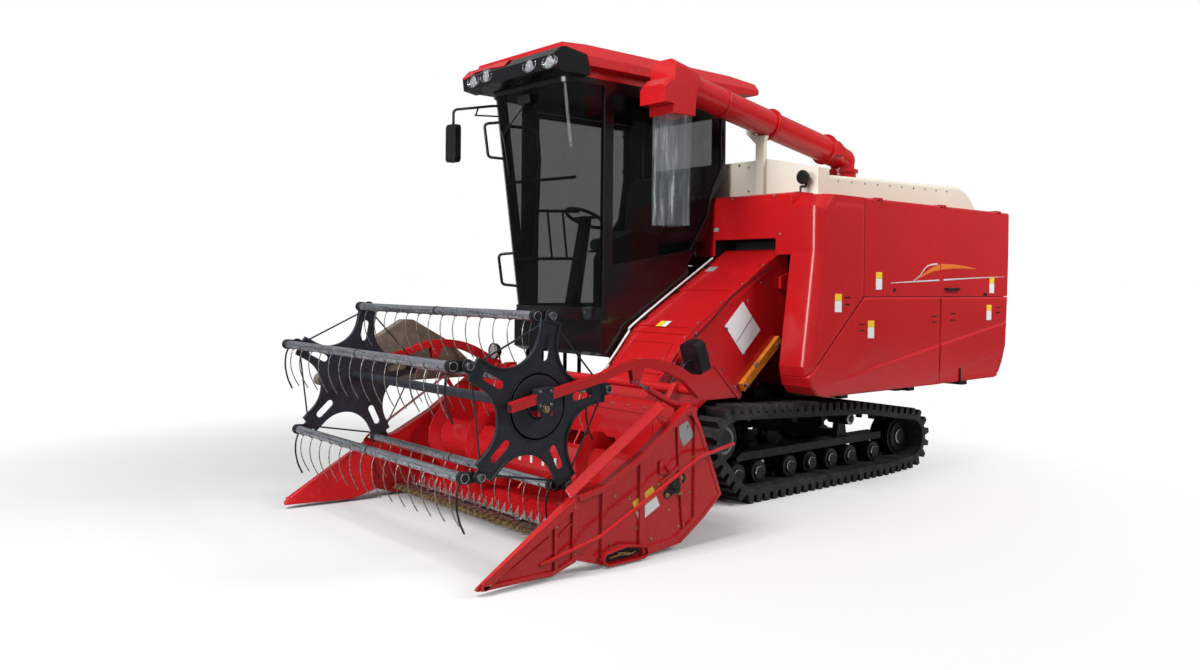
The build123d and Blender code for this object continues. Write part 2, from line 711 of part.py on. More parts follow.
# rear foot of the cab, cut away over the engine
cab_foot = ((cab_rear + 400, 2580), (cab_rear, 2580), (hood_front - 25, hood_top), (50, 2050),
            (-165, 1800), (-165, cab_bottom - 60), (cab_rear + 400, cab_bottom - 60))
screen_foot = 1440.0
screen_head = 3105.0
side_window = ((pillar_y + 45, 1760), (-140, 1900), (50, 2200), (110, 2420), (215, 2600), (215, 3060),
               (pillar_y + 45, 3060))
door_opening = ((-960, 1400), (-230, 1400), (-230, 1830), (50, 2180), (110, 2560), (110, 3060),
                (-960, 3060))


def cab_windows(room):
    """Cutters for the cab's windows, each grown by a room all round."""
    lean = (cab_brow_y - cab_sill_y) / (cab_top - cab_bottom)
    front_edge, rear_edge = corner_post
    with BuildPart() as cutters:
        # windscreen, wrapped round the front corners
        with BuildSketch(Plane.YZ.offset(cab_right - 50)):
            outline((-1700, screen_foot - room), (pillar_y - 45 + room, screen_foot - room),
                    (pillar_y - 45 + room, screen_head + room), (-1700, screen_head + room))
        extrude(amount=cab_left - cab_right + 100)
        # post in the right corner, which leans with the screen
        with BuildSketch(Plane.YZ.offset(cab_right - 60)):
            outline((cab_sill_y + front_edge + room, cab_bottom), (cab_sill_y + rear_edge - room, cab_bottom),
                    (cab_sill_y + rear_edge - room + lean * (cab_top - cab_bottom), cab_top),
                    (cab_sill_y + front_edge + room + lean * (cab_top - cab_bottom), cab_top))
        extrude(amount=200, mode=Mode.SUBTRACT)
        # left side window
        with BuildSketch(Plane.YZ.offset(cab_left - 80)):
            outline(*side_window)
            offset(amount=room, kind=Kind.INTERSECTION)
        extrude(amount=120)
        # rear window
        with BuildSketch(Plane.XZ.offset(-cab_rear - 60)):
            with Locations(((cab_left + cab_right) / 2, 2840)):
                Rectangle(760 + 2 * room, 400 + 2 * room)
        extrude(amount=120)
    return cutters.part


with BuildPart() as cab_frame:
    add(cab_block(0, cab_bottom, cab_top))
    add(cab_block(cab_wall, cab_bottom + 45 + seat_gap, cab_top - 40), mode=Mode.SUBTRACT)
    add(cab_windows(0), mode=Mode.SUBTRACT)
    with BuildSketch(Plane.YZ.offset(cab_right - 50)):
        outline(*door_opening)
    extrude(amount=150, mode=Mode.SUBTRACT)
    with BuildSketch(Plane.YZ.offset(cab_right - 100)):
        outline(*cab_foot)
    extrude(amount=cab_left - cab_right + 200, mode=Mode.SUBTRACT)
    # wall that closes the rear foot
    with BuildSketch(Plane.YZ.offset(cab_right + cab_wall - 2)):
        outline(*cab_foot[1:5], (-165, cab_bottom + 2), (-205, cab_bottom + 2), (-205, 1815),
                (12, 2068), (76, 2362), (cab_rear - 40, 2590), (cab_rear, 2590))
    extrude(amount=cab_left - cab_right - 2 * cab_wall + 4)
    # knuckles and pins that the door swings on
    for level in cab_hinge_levels:
        add(hinge_fixed(cab_right - hinge_offset, cab_hinge_y, level))
cab_frame.part.label = "cab_frame"
export_step(cab_frame.part, "parts/cab_frame.step")

with BuildPart() as cab_glass:
    add(cab_block(glass_inset, cab_bottom, cab_top))
    add(cab_block(glass_inset + glass_thickness, cab_bottom, cab_top), mode=Mode.SUBTRACT)
    add(cab_windows(-seat_gap), mode=Mode.INTERSECT)
cab_glass.part.label = "cab_glass"
export_step(cab_glass.part, "parts/cab_glass.step")

floor_level = cab_bottom + 45 + 2 * seat_gap
floor_thickness = 24.0
with BuildPart() as cab_floor:
    # floor plate inside the walls
    add(cab_block(cab_wall + seat_gap, floor_level, floor_level + floor_thickness))
    with BuildSketch(Plane.XY.offset(floor_level - 1)):
        with Locations((cab_right, 300)):
            Rectangle(3000, 2 * (300 + 205 + seat_gap))
    extrude(amount=floor_thickness + 2, mode=Mode.SUBTRACT)
cab_floor.part.label = "cab_floor"
export_step(cab_floor.part, "parts/cab_floor.step")

# box under the cab's front, with the steps up to the door on its right side
step_levels = (560.0, 810.0, 1060.0)
with BuildPart() as cab_base:
    with BuildSketch(Plane.YZ.offset(-1180)):
        outline((-1080, 1095), (-1000, 1060), (-200, 1060), (-200, cab_bottom - seat_gap),
                (-1080, cab_bottom - seat_gap))
    extrude(amount=1135)
    # legs down to the chassis rails
    with BuildSketch(Plane.YZ.offset(-170)):
        outline((-520, rail_bottom + rail_height + seat_gap), (-380, rail_bottom + rail_height + seat_gap),
                (-260, 1070), (-640, 1070))
    extrude(amount=100)
cab_base.part.label = "cab_base"
export_step(cab_base.part, "parts/cab_base.step")

with BuildPart() as cab_steps:
    for start in (-1180.0, -980.0):
        with BuildSketch(Plane.YZ.offset(start)):
            outline((-960, 1060 - seat_gap), (-960, step_levels[0] - 20), (-925, step_levels[0] - 20),
                    (-925, 1060 - seat_gap))
            outline((-560, 1060 - seat_gap), (-560, step_levels[0] - 20), (-525, step_levels[0] - 20),
                    (-525, 1060 - seat_gap))
        extrude(amount=10)
    for level in step_levels[:2]:
        with BuildSketch(Plane.XY.offset(level - 20)):
            with Locations((-1075, -742)):
                Rectangle(210, 440)
        extrude(amount=24)
cab_steps.part.label = "cab_steps"
export_step(cab_steps.part, "parts/cab_steps.step")

# ---------------------------------------------------------------- cab door on the right side
door_gap = 5.0
with BuildPart() as cab_door:
    add(cab_block(0, cab_bottom, cab_top))
    add(cab_block(30, cab_bottom, cab_top), mode=Mode.SUBTRACT)
    with BuildSketch(Plane.YZ.offset(cab_right - 50)):
        outline(*door_opening)
        offset(amount=-door_gap, kind=Kind.INTERSECTION)
    extrude(amount=150, mode=Mode.INTERSECT)
    with BuildSketch(Plane.YZ.offset(cab_right - 50)):
        outline(*door_opening)
        offset(amount=-door_gap - 45, kind=Kind.INTERSECTION)
    extrude(amount=150, mode=Mode.SUBTRACT)
    for level in cab_hinge_levels:
        add(hinge_swung(cab_right - hinge_offset, cab_hinge_y, level))
cab_door.part.label = "cab_door"
export_step(cab_door.part, "parts/cab_door.step")

with BuildPart() as door_glass:
    with BuildSketch(Plane.YZ.offset(cab_right + glass_inset)):
        outline(*door_opening)
        offset(amount=-door_gap - 45 - seat_gap, kind=Kind.INTERSECTION)
    extrude(amount=glass_thickness)
door_glass.part.label = "door_glass"
export_step(door_glass.part, "parts/door_glass.step")

# ---------------------------------------------------------------- roof, visor and lamps
roof_foot = cab_top + seat_gap
visor_front = -1590.0
with BuildPart() as cab_roof:
    with BuildSketch(Plane.YZ.offset(roof_right)):
        outline((-1270, roof_foot + 70), (cab_rear - 20, roof_foot + 70), (roof_rear - 20, 3245),
                (roof_rear, 3262), (roof_rear, 3350), (cab_rear, 3385), (-1250, 3392), (-1480, 3372),
                (-1480, 3330), (-1290, 3300))
    extrude(amount=roof_left - roof_right)
    with BuildSketch(Plane.YZ.offset(cab_right + 20)):
        outline((-1250, roof_foot), (cab_rear - 30, roof_foot), (cab_rear - 30, roof_foot + 75),
                (-1250, roof_foot + 75))
    extrude(amount=cab_left - cab_right - 40)
    # the roof's sides slope in towards the top
    with BuildSketch(Plane.XZ.offset(2000)):
        outline((roof_right, roof_foot - 50), (roof_left, roof_foot - 50), (roof_left, 3290),
                (roof_left - 85, 3400), (roof_right + 85, 3400), (roof_right, 3290))
    extrude(amount=-4000, mode=Mode.INTERSECT)
cab_roof.part.label = "cab_roof"
export_step(cab_roof.part, "parts/cab_roof.step")

# (x, height) of the four work lamps in the visor
visor_lamps = ((-1040.0, 3216.0), (-855.0, 3232.0), (-280.0, 3219.0), (-35.0, 3208.0))
lamp_radius = 44.0
with BuildPart() as roof_visor:
    with BuildSketch(Plane.YZ.offset(roof_right + 5)):
        outline((-1260, roof_foot), (-1435, roof_foot), (-1475, roof_foot - 10),
                (visor_front, 3160),
                (visor_front - 12, 3255), (visor_front + 60, 3320), (-1485, 3328), (-1295, 3298),
                (-1275, roof_foot + 66), (-1260, roof_foot + 66))
    extrude(amount=roof_left - roof_right - 10)
    for x, height in visor_lamps:
        with BuildSketch(Plane.XZ.offset(-visor_front + 20)):
            with Locations((x, height)):
                Circle(lamp_radius + seat_gap)
        extrude(amount=-60, mode=Mode.SUBTRACT)
roof_visor.part.label = "roof_visor"
export_step(roof_visor.part, "parts/roof_visor.step")

with BuildPart() as work_lamps:
    for x, height in visor_lamps:
        with Locations((x, visor_front + 20, height)):
            with Locations(Rotation(90, 0, 0)):
                Cylinder(lamp_radius, 36)
work_lamps.part.label = "work_lamps"
export_step(work_lamps.part, "parts/work_lamps.step")

# round work lamp on a bent stalk over the front of the body
side_lamp_at = (698.0, 386.0, 2480.0)
with BuildPart() as side_lamp:
    x, y, z = side_lamp_at
    with BuildLine() as lamp_stalk:
        FilletPolyline((x, y - 45, hood_top + seat_gap), (x, y - 45, z - 75), (x, y + 25, z - 75),
                       (x, y + 25, z), radius=12)
    with BuildSketch(Plane(lamp_stalk.line @ 0, z_dir=lamp_stalk.line % 0)):
        Circle(9)
    sweep()
    with BuildSketch(Plane.XY.offset(hood_top + seat_gap)):
        with Locations((x, y - 45)):
            RectangleRounded(60, 50, 10)
    extrude(amount=6)
    # bowl that narrows to the back, with a rim round the lens
    with BuildSketch(Plane(origin=side_lamp_at, x_dir=(1, 0, 0), z_dir=(0, 0, 1))):
        outline((0, -34), (50, -34), (56, -28), (56, -14), (48, -8), (40, 22), (22, 38), (0, 38))
    revolve(axis=Axis(side_lamp_at, (0, 1, 0)))
side_lamp.part.label = "side_lamp"
export_step(side_lamp.part, "parts/side_lamp.step")

# ---------------------------------------------------------------- seat, console and controls
seat_x = (cab_left + cab_right) / 2
plate_top = floor_level + floor_thickness
with BuildPart() as operator_seat:
    with BuildSketch(Plane.YZ.offset(seat_x - 240)):
        outline((-600, 1900), (-160, 1880), (-150, 1960), (-60, 2520), (-150, 2540), (-245, 2010),
                (-620, 2020))
    extrude(amount=480)
    with BuildSketch(Plane.YZ.offset(seat_x - 190)):
        outline((-560, plate_top + seat_gap), (-225, plate_top + seat_gap), (-225, 1910), (-560, 1910))
    extrude(amount=380)
operator_seat.part.label = "operator_seat"
export_step(operator_seat.part, "parts/operator_seat.step")

with BuildPart() as control_console:
    with BuildSketch(Plane.YZ.offset(cab_left - cab_wall - 250)):
        outline((-900, plate_top + seat_gap), (-260, plate_top + seat_gap), (-260, 2000), (-700, 2040),
                (-900, 1960))
    extrude(amount=230)
    # steering column with its wheel and the front rail
    with BuildSketch(Plane.YZ.offset(seat_x - 45)):
        outline((-990, plate_top + seat_gap), (-900, plate_top + seat_gap), (-785, 2135), (-835, 2165))
    extrude(amount=90)
    with Locations(Location((seat_x, -815, 2150), (-25, 0, 0))):
        Torus(165, 14)
        Box(330, 24, 16)
control_console.part.label = "control_console"
export_step(control_console.part, "parts/control_console.step")

with BuildPart() as side_mirror:
    # bent tube arm from the right corner post
    with BuildLine() as arm_line:
        FilletPolyline((cab_right + 8, -1265, 3070), (cab_right - 90, -1300, 3080),
                       (mirror_x, mirror_y, 3040), (mirror_x, mirror_y, 2880), radius=35)
    with BuildSketch(Plane(arm_line.line @ 0, z_dir=arm_line.line % 0)):
        Circle(11)
    sweep()
    # stay under the arm
    with BuildLine() as stay_line:
        Polyline((cab_right + 8, -1245, 2985), (cab_right - 180, -1420, 3000))
    with BuildSketch(Plane(stay_line.line @ 0, z_dir=stay_line.line % 0)):
        Circle(7)
    sweep()
    with BuildLine() as tie_line:
        Polyline((cab_right - 174, -1414, 2995), (cab_right - 180, -1386, 3066))
    with BuildSketch(Plane(tie_line.line @ 0, z_dir=tie_line.line % 0)):
        Circle(7)
    sweep()
    # mirror head that hangs from it
    with BuildSketch(Plane.XZ.offset(-mirror_y - 28)):
        with Locations((mirror_x, mirror_z)):
            RectangleRounded(150, 310, 34)
    extrude(amount=56)
    with BuildSketch(Plane.YZ.offset(cab_right - seat_gap)):
        with Locations((-1265, 2990)):
            Rectangle(400, 400)
    extrude(amount=60, mode=Mode.SUBTRACT)
side_mirror.part.label = "side_mirror"
export_step(side_mirror.part, "parts/side_mirror.step")

# (lower end, upper end) of each handle on the right corner post
handle_levels = ((2640, 2940), (1590, 1870))
with BuildPart() as grab_handles:
    post_lean = (cab_brow_y - cab_sill_y) / (cab_top - cab_bottom)
    for low, high in handle_levels:
        low_y, high_y = (cab_sill_y + sum(corner_post) / 2 + post_lean * (level - cab_bottom)
                         for level in (low, high))
        with BuildLine() as handle_line:
            FilletPolyline((cab_right + 6, low_y + 7, low), (cab_right - 95, low_y - 115, low + 15),
                           (cab_right - 95, high_y - 115, high - 15), (cab_right + 6, high_y + 7, high),
                           radius=32)
        with BuildSketch(Plane(handle_line.line @ 0, z_dir=handle_line.line % 0)):
            Circle(12)
        sweep()
    with BuildSketch(Plane.YZ.offset(cab_right - seat_gap + 0.5)):
        with Locations((-1250, 2200)):
            Rectangle(600, 3000)
    extrude(amount=60, mode=Mode.SUBTRACT)
grab_handles.part.label = "grab_handles"
export_step(grab_handles.part, "parts/grab_handles.step")

# ---------------------------------------------------------------- unloading auger
turret_radius = 118.0
turret_bore = 90.0
flange_radius = 138.0
trunnion_radius = 16.0
ear_width = 12.0
roof_slope = (tank_top_rear - tank_top_front) / (tank_roof_end - tank_corner_y)


def tank_roof(y):
    """Height of the grain tank's roof at a place along the machine."""
    return tank_top_front + roof_slope * (y - tank_corner_y)


def beside(distance, rise):
    """Point at a distance along the unloading tube from its joint, and a rise square to it."""
    slope = radians(unload_slope)
    return (unload_joint_y - distance * cos(slope) + rise * sin(slope),
            unload_joint_z + distance * sin(slope) + rise * cos(slope))


with BuildPart() as unload_base:
    # flanged riser out of the tank's roof
    with BuildSketch(Plane.XY.offset(tank_roof(turret_y) + 2)):
        with Locations((unload_x, turret_y)):
            Circle(turret_radius)
    extrude(amount=turret_z - tank_roof(turret_y) - 2)
    with BuildSketch(Plane.XY.offset(turret_z - 14)):
        with Locations((unload_x, turret_y)):
            Circle(flange_radius)
    extrude(amount=14)
    with BuildSketch(Plane.YZ.offset(unload_x - 200)):
        outline((turret_y - 200, tank_roof(turret_y - 200) - 5), (turret_y + 200, tank_roof(turret_y + 200) - 5),
                (turret_y + 200, tank_roof(turret_y + 200) + 14),
                (turret_y - 200, tank_roof(turret_y - 200) + 14))
    extrude(amount=400)
    with BuildSketch(Plane.YZ.offset(unload_x - 210)):
        outline((turret_y - 300, tank_roof(turret_y - 300) + seat_gap),
                (turret_y + 300, tank_roof(turret_y + 300) + seat_gap), (turret_y + 300, 2400),
                (turret_y - 300, 2400))
    extrude(amount=420, mode=Mode.SUBTRACT)
    with Locations((unload_x, turret_y, turret_z)):
        Cylinder(turret_bore + pin_clearance, 40, mode=Mode.SUBTRACT)
unload_base.part.label = "unload_base"
export_step(unload_base.part, "parts/unload_base.step")

with BuildPart() as unload_elbow:
    with BuildSketch(Plane.XY.offset(turret_z + 0.5)):
        with Locations((unload_x, turret_y)):
            Circle(flange_radius)
    extrude(amount=14)
    with BuildSketch(Plane.XY.offset(turret_z - 18)):
        with Locations((unload_x, turret_y)):
            Circle(turret_bore)
    extrude(amount=40)
    with BuildSketch(Plane.XY.offset(turret_z + 8)):
        with Locations((unload_x, turret_y)):
            Circle(turret_radius - 14)
    extrude(amount=92)
    # bend that ends in the ball the tube tilts on
    bend_rise = unload_joint_z - turret_z - 100
    bend_run = turret_y - unload_joint_y
    with BuildSketch(Plane(origin=(unload_x, turret_y, turret_z + 100), x_dir=(1, 0, 0),
                           z_dir=(0, -bend_run, bend_rise))):
        Circle(turret_radius - 12)
    extrude(amount=hypot(bend_run, bend_rise))
    with Locations((unload_x, turret_y, turret_z + 100)):
        Sphere(turret_radius - 9)
    with Locations((unload_x, unload_joint_y, unload_joint_z)):
        Sphere(turret_radius)
    with BuildSketch(Plane.YZ.offset(unload_x - turret_radius - moving_gap - ear_width)):
        with Locations((unload_joint_y, unload_joint_z)):
            Circle(trunnion_radius)
    extrude(amount=2 * (turret_radius + moving_gap + ear_width))
unload_elbow.part.label = "unload_elbow"
export_step(unload_elbow.part, "parts/unload_elbow.step")

joint_plane = Plane(origin=(unload_x, unload_joint_y, unload_joint_z), x_dir=(1, 0, 0),
                    z_dir=(0, -cos(radians(unload_slope)), sin(radians(unload_slope))))
tube_end = 1850.0
with BuildPart() as unload_tube:
    with BuildSketch(joint_plane):
        Circle(unload_radius)
    extrude(amount=tube_end)
    with BuildSketch(joint_plane.offset(100)):
        Circle(turret_radius + moving_gap + ear_width)
    extrude(amount=14)
    # ears that hold the trunnions on the ball
    for start in (unload_x + turret_radius + moving_gap, unload_x - turret_radius - moving_gap - ear_width):
        with BuildSketch(Plane.YZ.offset(start)):
            outline(beside(0, -34), beside(0, 34), beside(110, 60), beside(110, -60))
            with Locations((unload_joint_y, unload_joint_z)):
                Circle(34)
                Circle(trunnion_radius + pin_clearance, mode=Mode.SUBTRACT)
        extrude(amount=ear_width)
    with Locations((unload_x, unload_joint_y, unload_joint_z)):
        Sphere(turret_radius + moving_gap - 0.5, mode=Mode.SUBTRACT)
unload_tube.part.label = "unload_tube"
export_step(unload_tube.part, "parts/unload_tube.step")

with BuildPart() as unload_spout:
    # housing round the tube's end, with the outlet below it
    with BuildSketch(Plane.YZ.offset(unload_x - spout_half)):
        outline(beside(tube_end + seat_gap, -118), beside(tube_end + seat_gap, 118),
                beside(tube_end + 262, 124), (spout_y - 110, spout_foot + 60), (spout_y - 110, spout_foot),
                (spout_y + 110, spout_foot))
    extrude(amount=2 * spout_half)
    crown = unload_spout.edges().filter_by(
        lambda e: abs(abs(e.center().X - unload_x) - spout_half) < 1 and e.center().Z > 3230)
    fillet(crown, 60)
    # box that stands out in front
    with BuildSketch(Plane.YZ.offset(unload_x - spout_half)):
        outline((spout_y - 206, 2950), (spout_y - 60, 2950), (spout_y - 60, 3140), (spout_y - 150, 3140),
                (spout_y - 206, 3085))
    extrude(amount=2 * spout_half)
    brow = unload_spout.edges().filter_by(
        lambda e: e.center().Y < spout_y - 125 and e.center().Z > 3100
        and abs(e.center().X - unload_x) > spout_half - 1)
    chamfer(brow, 20)
unload_spout.part.label = "unload_spout"
export_step(unload_spout.part, "parts/unload_spout.step")

sleeve_bottom = 2060.0
with BuildPart() as spout_sleeve:
    with BuildSketch(Plane.XY.offset(sleeve_bottom)):
        with Locations((unload_x, spout_y)):
            RectangleRounded(2 * spout_half - 4, 216, 40)
            RectangleRounded(2 * spout_half - 10, 210, 37, mode=Mode.SUBTRACT)
    extrude(amount=spout_foot - seat_gap - sleeve_bottom)
spout_sleeve.part.label = "spout_sleeve"
export_step(spout_sleeve.part, "parts/spout_sleeve.step")

# post on the tank's front with the saddle that the tube rests over, open on the side it swings to
cradle_y = tank_front - 20
cradle_axis = beside((unload_joint_y - cradle_y) / cos(radians(unload_slope)), 0)[1]
cradle_rest = unload_radius + 2 * moving_gap
with BuildPart() as tube_cradle:
    with BuildSketch(Plane.XZ.offset(seat_gap - tank_front)):
        outline((unload_x - 45, hood_top + seat_gap + 5), (unload_x + 40, hood_top + seat_gap + 5),
                (unload_x + 40, cradle_axis - cradle_rest - 60), (unload_x + 60, cradle_axis - cradle_rest),
                (unload_x, cradle_axis - cradle_rest), (unload_x, cradle_axis),
                (unload_x - 60, cradle_axis), (unload_x - 118, cradle_axis + 50),
                (unload_x - 150, cradle_axis + 50), (unload_x - 150, cradle_axis - 90),
                (unload_x - 45, cradle_axis - cradle_rest - 60))
        with Locations((unload_x, cradle_axis)):
            Circle(cradle_rest, mode=Mode.SUBTRACT)
    extrude(amount=40)
tube_cradle.part.label = "tube_cradle"
export_step(tube_cradle.part, "parts/tube_cradle.step")

# ---------------------------------------------------------------- feeder house
mouth_y = -1452.0          # where the feeder house meets the header
lift_eye_y = -520.0        # rod eye of the header's lift cylinder, a loose fit in its ears
lift_eye_z = 672.0
lift_eye_bore = 24.0
with BuildPart() as feeder_house:
    with BuildSketch(Plane.YZ.offset(feeder_right)):
        outline((mouth_y, 600), (-1020, 1000), (-773, 1285), (262, 1908), (300, 1860), (318, 1500),
                (290, 1270), (-266, 768), (-600, 768), (-1000, 520), (mouth_y, 170))
    extrude(amount=feeder_left - feeder_right)
    # open mouth behind the header's auger
    with BuildSketch(Plane.YZ.offset(feeder_right + feeder_wall)):
        outline((mouth_y - 5, 580), (-1040, 965), (-850, 940), (-850, 640), (-1005, 535), (mouth_y - 5, 190))
    extrude(amount=feeder_left - feeder_right - 2 * feeder_wall, mode=Mode.SUBTRACT)
    # shaft that it swings on
    with BuildSketch(Plane.YZ.offset(ear_inner_right - ear_thickness)):
        with Locations((pivot_y, pivot_z)):
            Circle(pivot_radius)
    extrude(amount=ear_inner_left - ear_inner_right + 2 * ear_thickness)
    # ears below for the lift cylinder's rod
    for start in (lift_x - 50, lift_x + 32):
        with BuildSketch(Plane.YZ.offset(start)):
            outline((-640, 780), (-470, 780), (-486, 640), (-554, 640))
            with Locations((-520, 672)):
                Circle(lift_eye_bore, mode=Mode.SUBTRACT)
        extrude(amount=18)
feeder_house.part.label = "feeder_house"
export_step(feeder_house.part, "parts/feeder_house.step")

lock_start = (-240.0, 832.0)
lock_end = (181.0, 1178.0)
with BuildPart() as lock_bar:
    with BuildSketch(Plane.YZ.offset(feeder_left + seat_gap)):
        outline((lock_start[0] - 20, lock_start[1] + 40), (lock_start[0] + 10, lock_start[1] - 18),
                (lock_end[0] + 22, lock_end[1] - 12), (lock_end[0] - 16, lock_end[1] + 44))
        with Locations((lock_start[0] + 12, lock_start[1] + 22)):
            Circle(14, mode=Mode.SUBTRACT)
    extrude(amount=40)
lock_bar.part.label = "lock_bar"
export_step(lock_bar.part, "parts/lock_bar.step")

# ---------------------------------------------------------------- header
def side_sheet():
    """Side of the header seen from the side, without the divider's point."""
    outline((-2412, 78), (-2220, 14), (-1900, 14), (-1594, 39), (-1384, 172), (-1235, 291),
            (-1426, 744), (-1518, 889), (-1899, 628), (-2199, 471), (-2412, 440))


trough_sheet = 6.0
header_back = auger_y + trough_radius
reel_foot_y = -1540.0      # lower pivot of the reel's lift cylinders
reel_foot_z = 858.0
reel_eye_y = -1905.0       # their rod eyes, a loose fit in the arms' ears
reel_eye_z = 1038.0
reel_eye_bore = 12.0
with BuildPart() as header_frame:
    for start, out in ((header_inner_left, 1), (header_right, -1)):
        with BuildSketch(Plane.YZ.offset(start)):
            side_sheet()
            with Locations((auger_y, auger_z)):
                Circle(24 + seat_gap, mode=Mode.SUBTRACT)
        extrude(amount=side_box)
        # panels pressed into the outer face, leaving ribs
        face = header_left - 14 if out > 0 else header_right
        with BuildSketch(Plane.YZ.offset(face)):
            outline((-2375, 100), (-2225, 60), (-2225, 430), (-2375, 400))
            outline((-2190, 55), (-1935, 55), (-1935, 575), (-2190, 440))
            outline((-1895, 60), (-1640, 80), (-1480, 180), (-1480, 800), (-1540, 820), (-1895, 590))
        extrude(amount=14, mode=Mode.SUBTRACT)
    # trough round the auger, from the knife back and up to the top beam
    with BuildSketch(Plane.YZ.offset(header_inner_right - 2)):
        with BuildLine():
            Line((knife_y + 20, knife_z - 18), (auger_y - 60, auger_z - trough_radius + 8))
            ThreePointArc((auger_y - 60, auger_z - trough_radius + 8),
                          (auger_y + trough_radius * sin(radians(45)), auger_z - trough_radius * cos(radians(45))),
                          (header_back, auger_z))
            Polyline((header_back, auger_z), (header_back, 780), (header_back + trough_sheet, 780),
                     (header_back + trough_sheet, auger_z))
            outer = trough_radius + trough_sheet
            ThreePointArc((header_back + trough_sheet, auger_z),
                          (auger_y + outer * sin(radians(45)), auger_z - outer * cos(radians(45))),
                          (auger_y - 60, auger_z - trough_radius + 8 - trough_sheet))
            Polyline((auger_y - 60, auger_z - trough_radius + 8 - trough_sheet),
                     (knife_y + 20, knife_z - 18 - trough_sheet), (knife_y + 20, knife_z - 18))
        make_face()
    extrude(amount=header_inner_left - header_inner_right + 4)
    # opening into the feeder house
    with BuildSketch(Plane.XZ.offset(-header_back - 30)):
        with Locations(((feeder_left + feeder_right) / 2, 385)):
            Rectangle(feeder_left - feeder_right - 2 * feeder_wall, 380)
    extrude(amount=200, mode=Mode.SUBTRACT)
    # collar that meets the feeder house
    with BuildSketch(Plane.XZ.offset(-mouth_y + seat_gap)):
        with Locations(((feeder_left + feeder_right) / 2, 385)):
            Rectangle(feeder_left - feeder_right, 420)
            Rectangle(feeder_left - feeder_right - 2 * feeder_wall, 380, mode=Mode.SUBTRACT)
    extrude(amount=mouth_y - header_back)
    # top beam and knife beam across the whole width
    with BuildSketch(Plane.YZ.offset(header_inner_right - 2)):
        outline((header_back - 4, 770), (header_back + 76, 770), (header_back + 76, 850),
                (header_back - 4, 850))
        outline((knife_y - 6, knife_z - 34), (knife_y + 70, knife_z - 42), (knife_y + 70, knife_z - 20),
                (knife_y - 6, knife_z - 12))
    extrude(amount=header_inner_left - header_inner_right + 4)
    # ears for the reel's lift cylinders, in front of the top beam
    for x in (arm_left, arm_right):
        for side in (-1, 1):
            with BuildSketch(Plane.YZ.offset(x + side * 18 - 4)):
                outline((header_back + 20, 775), (header_back + 20, 848), (reel_foot_y - 14, reel_foot_z + 16),
                        (reel_foot_y - 14, reel_foot_z - 20), (header_back - 30, 775))
                with Locations((reel_foot_y, reel_foot_z)):
                    Circle(9 + pin_clearance, mode=Mode.SUBTRACT)
            extrude(amount=8)
    # brackets that carry the reel arms' cross tube
    for x in (header_middle + 960, header_middle - 960):
        with BuildSketch(Plane.YZ.offset(x - 20)):
            outline((header_back + 10, 845), (header_back + 76, 845), (arm_pivot_y + 46, arm_pivot_z - 40),
                    (arm_pivot_y + 46, arm_pivot_z + 46), (arm_pivot_y - 46, arm_pivot_z + 46))
            with Locations((arm_pivot_y, arm_pivot_z)):
                Circle(30 + pin_clearance, mode=Mode.SUBTRACT)
        extrude(amount=40)
header_frame.part.label = "header_frame"
export_step(header_frame.part, "parts/header_frame.step")

divider_tip = -3058.0
divider_knee = -2576.0
divider_rear = -2412.0 - seat_gap
with BuildPart() as crop_dividers:
    # (place, right face, left face, lower edge, upper edge) of the left divider's sections
    for place, right, left, low, high in ((divider_tip, 1318, 1350, 30, 52),
                                          (divider_knee, 1262, 1350, 20, 345),
                                          (divider_rear, 1240, 1350, 70, 443)):
        with BuildSketch(Plane.XZ.offset(-place)):
            outline((right, low), (left, low), (left, high), (right + 0.6 * (left - right), high))
    loft(ruled=True)
    # slanted deflector over the side sheet's top edge
    for place, foot in ((divider_rear - 40, 421), (-1745, 868)):
        with BuildSketch(Plane.XZ.offset(-place)):
            outline((header_left, foot), (header_left, foot + 8), (header_inner_left + 6, foot + 50),
                    (header_inner_left + 6, foot + 42))
    loft(ruled=True)
    # foot that seats it on the divider's top
    with BuildSketch(Plane.YZ.offset(header_left - 14)):
        outline((-2450, 420.95), (-2421, 438.3), (-2421, 446), (-2440, 434))
    extrude(amount=14)
    # stay under its rear end
    with BuildSketch(Plane.YZ.offset(header_inner_left + 8)):
        outline((-1800, 862), (-1760, 880), (-1690, 772), (-1710, 758.5))
    extrude(amount=6)
    # rod along the outside that holds the crop off the tracks
    with BuildLine() as rod_line:
        FilletPolyline((1352, -2660, 96), (1425, -2300, 206), (1425, -1500, 570), (1352, -1130, 600),
                       radius=150)
    with BuildSketch(Plane(rod_line.line @ 0, z_dir=rod_line.line % 0)):
        Circle(11)
    sweep()
    mirror(about=Plane.YZ.offset(header_middle))
crop_dividers.part.label = "crop_dividers"
export_step(crop_dividers.part, "parts/crop_dividers.step")

# ---------------------------------------------------------------- knife and guards
guard_count = int((header_inner_left - header_inner_right) / knife_pitch)
guard_first = header_middle - knife_pitch * (guard_count - 1) / 2
with BuildPart() as cutterbar:
    with BuildSketch(Plane.YZ.offset(header_inner_right + seat_gap)):
        outline((knife_y - 50, knife_z - 12 + seat_gap), (knife_y + 18, knife_z - 12 + seat_gap),
                (knife_y + 18, knife_z - 0.5), (knife_y - 50, knife_z - 0.5))
    extrude(amount=header_inner_left - header_inner_right - 2 * seat_gap)
    for index in range(guard_count):
        with BuildSketch(Plane.YZ.offset(guard_first + index * knife_pitch - 9)):
            outline((knife_y - 45, knife_z - 20), (knife_y - 45, knife_z - 1), (knife_y - 80, knife_z - 1),
                    (knife_y - 82, knife_z + 12), (knife_y - 128, knife_z - 12))
        extrude(amount=18)
cutterbar.part.label = "cutterbar"
export_step(cutterbar.part, "parts/cutterbar.step")

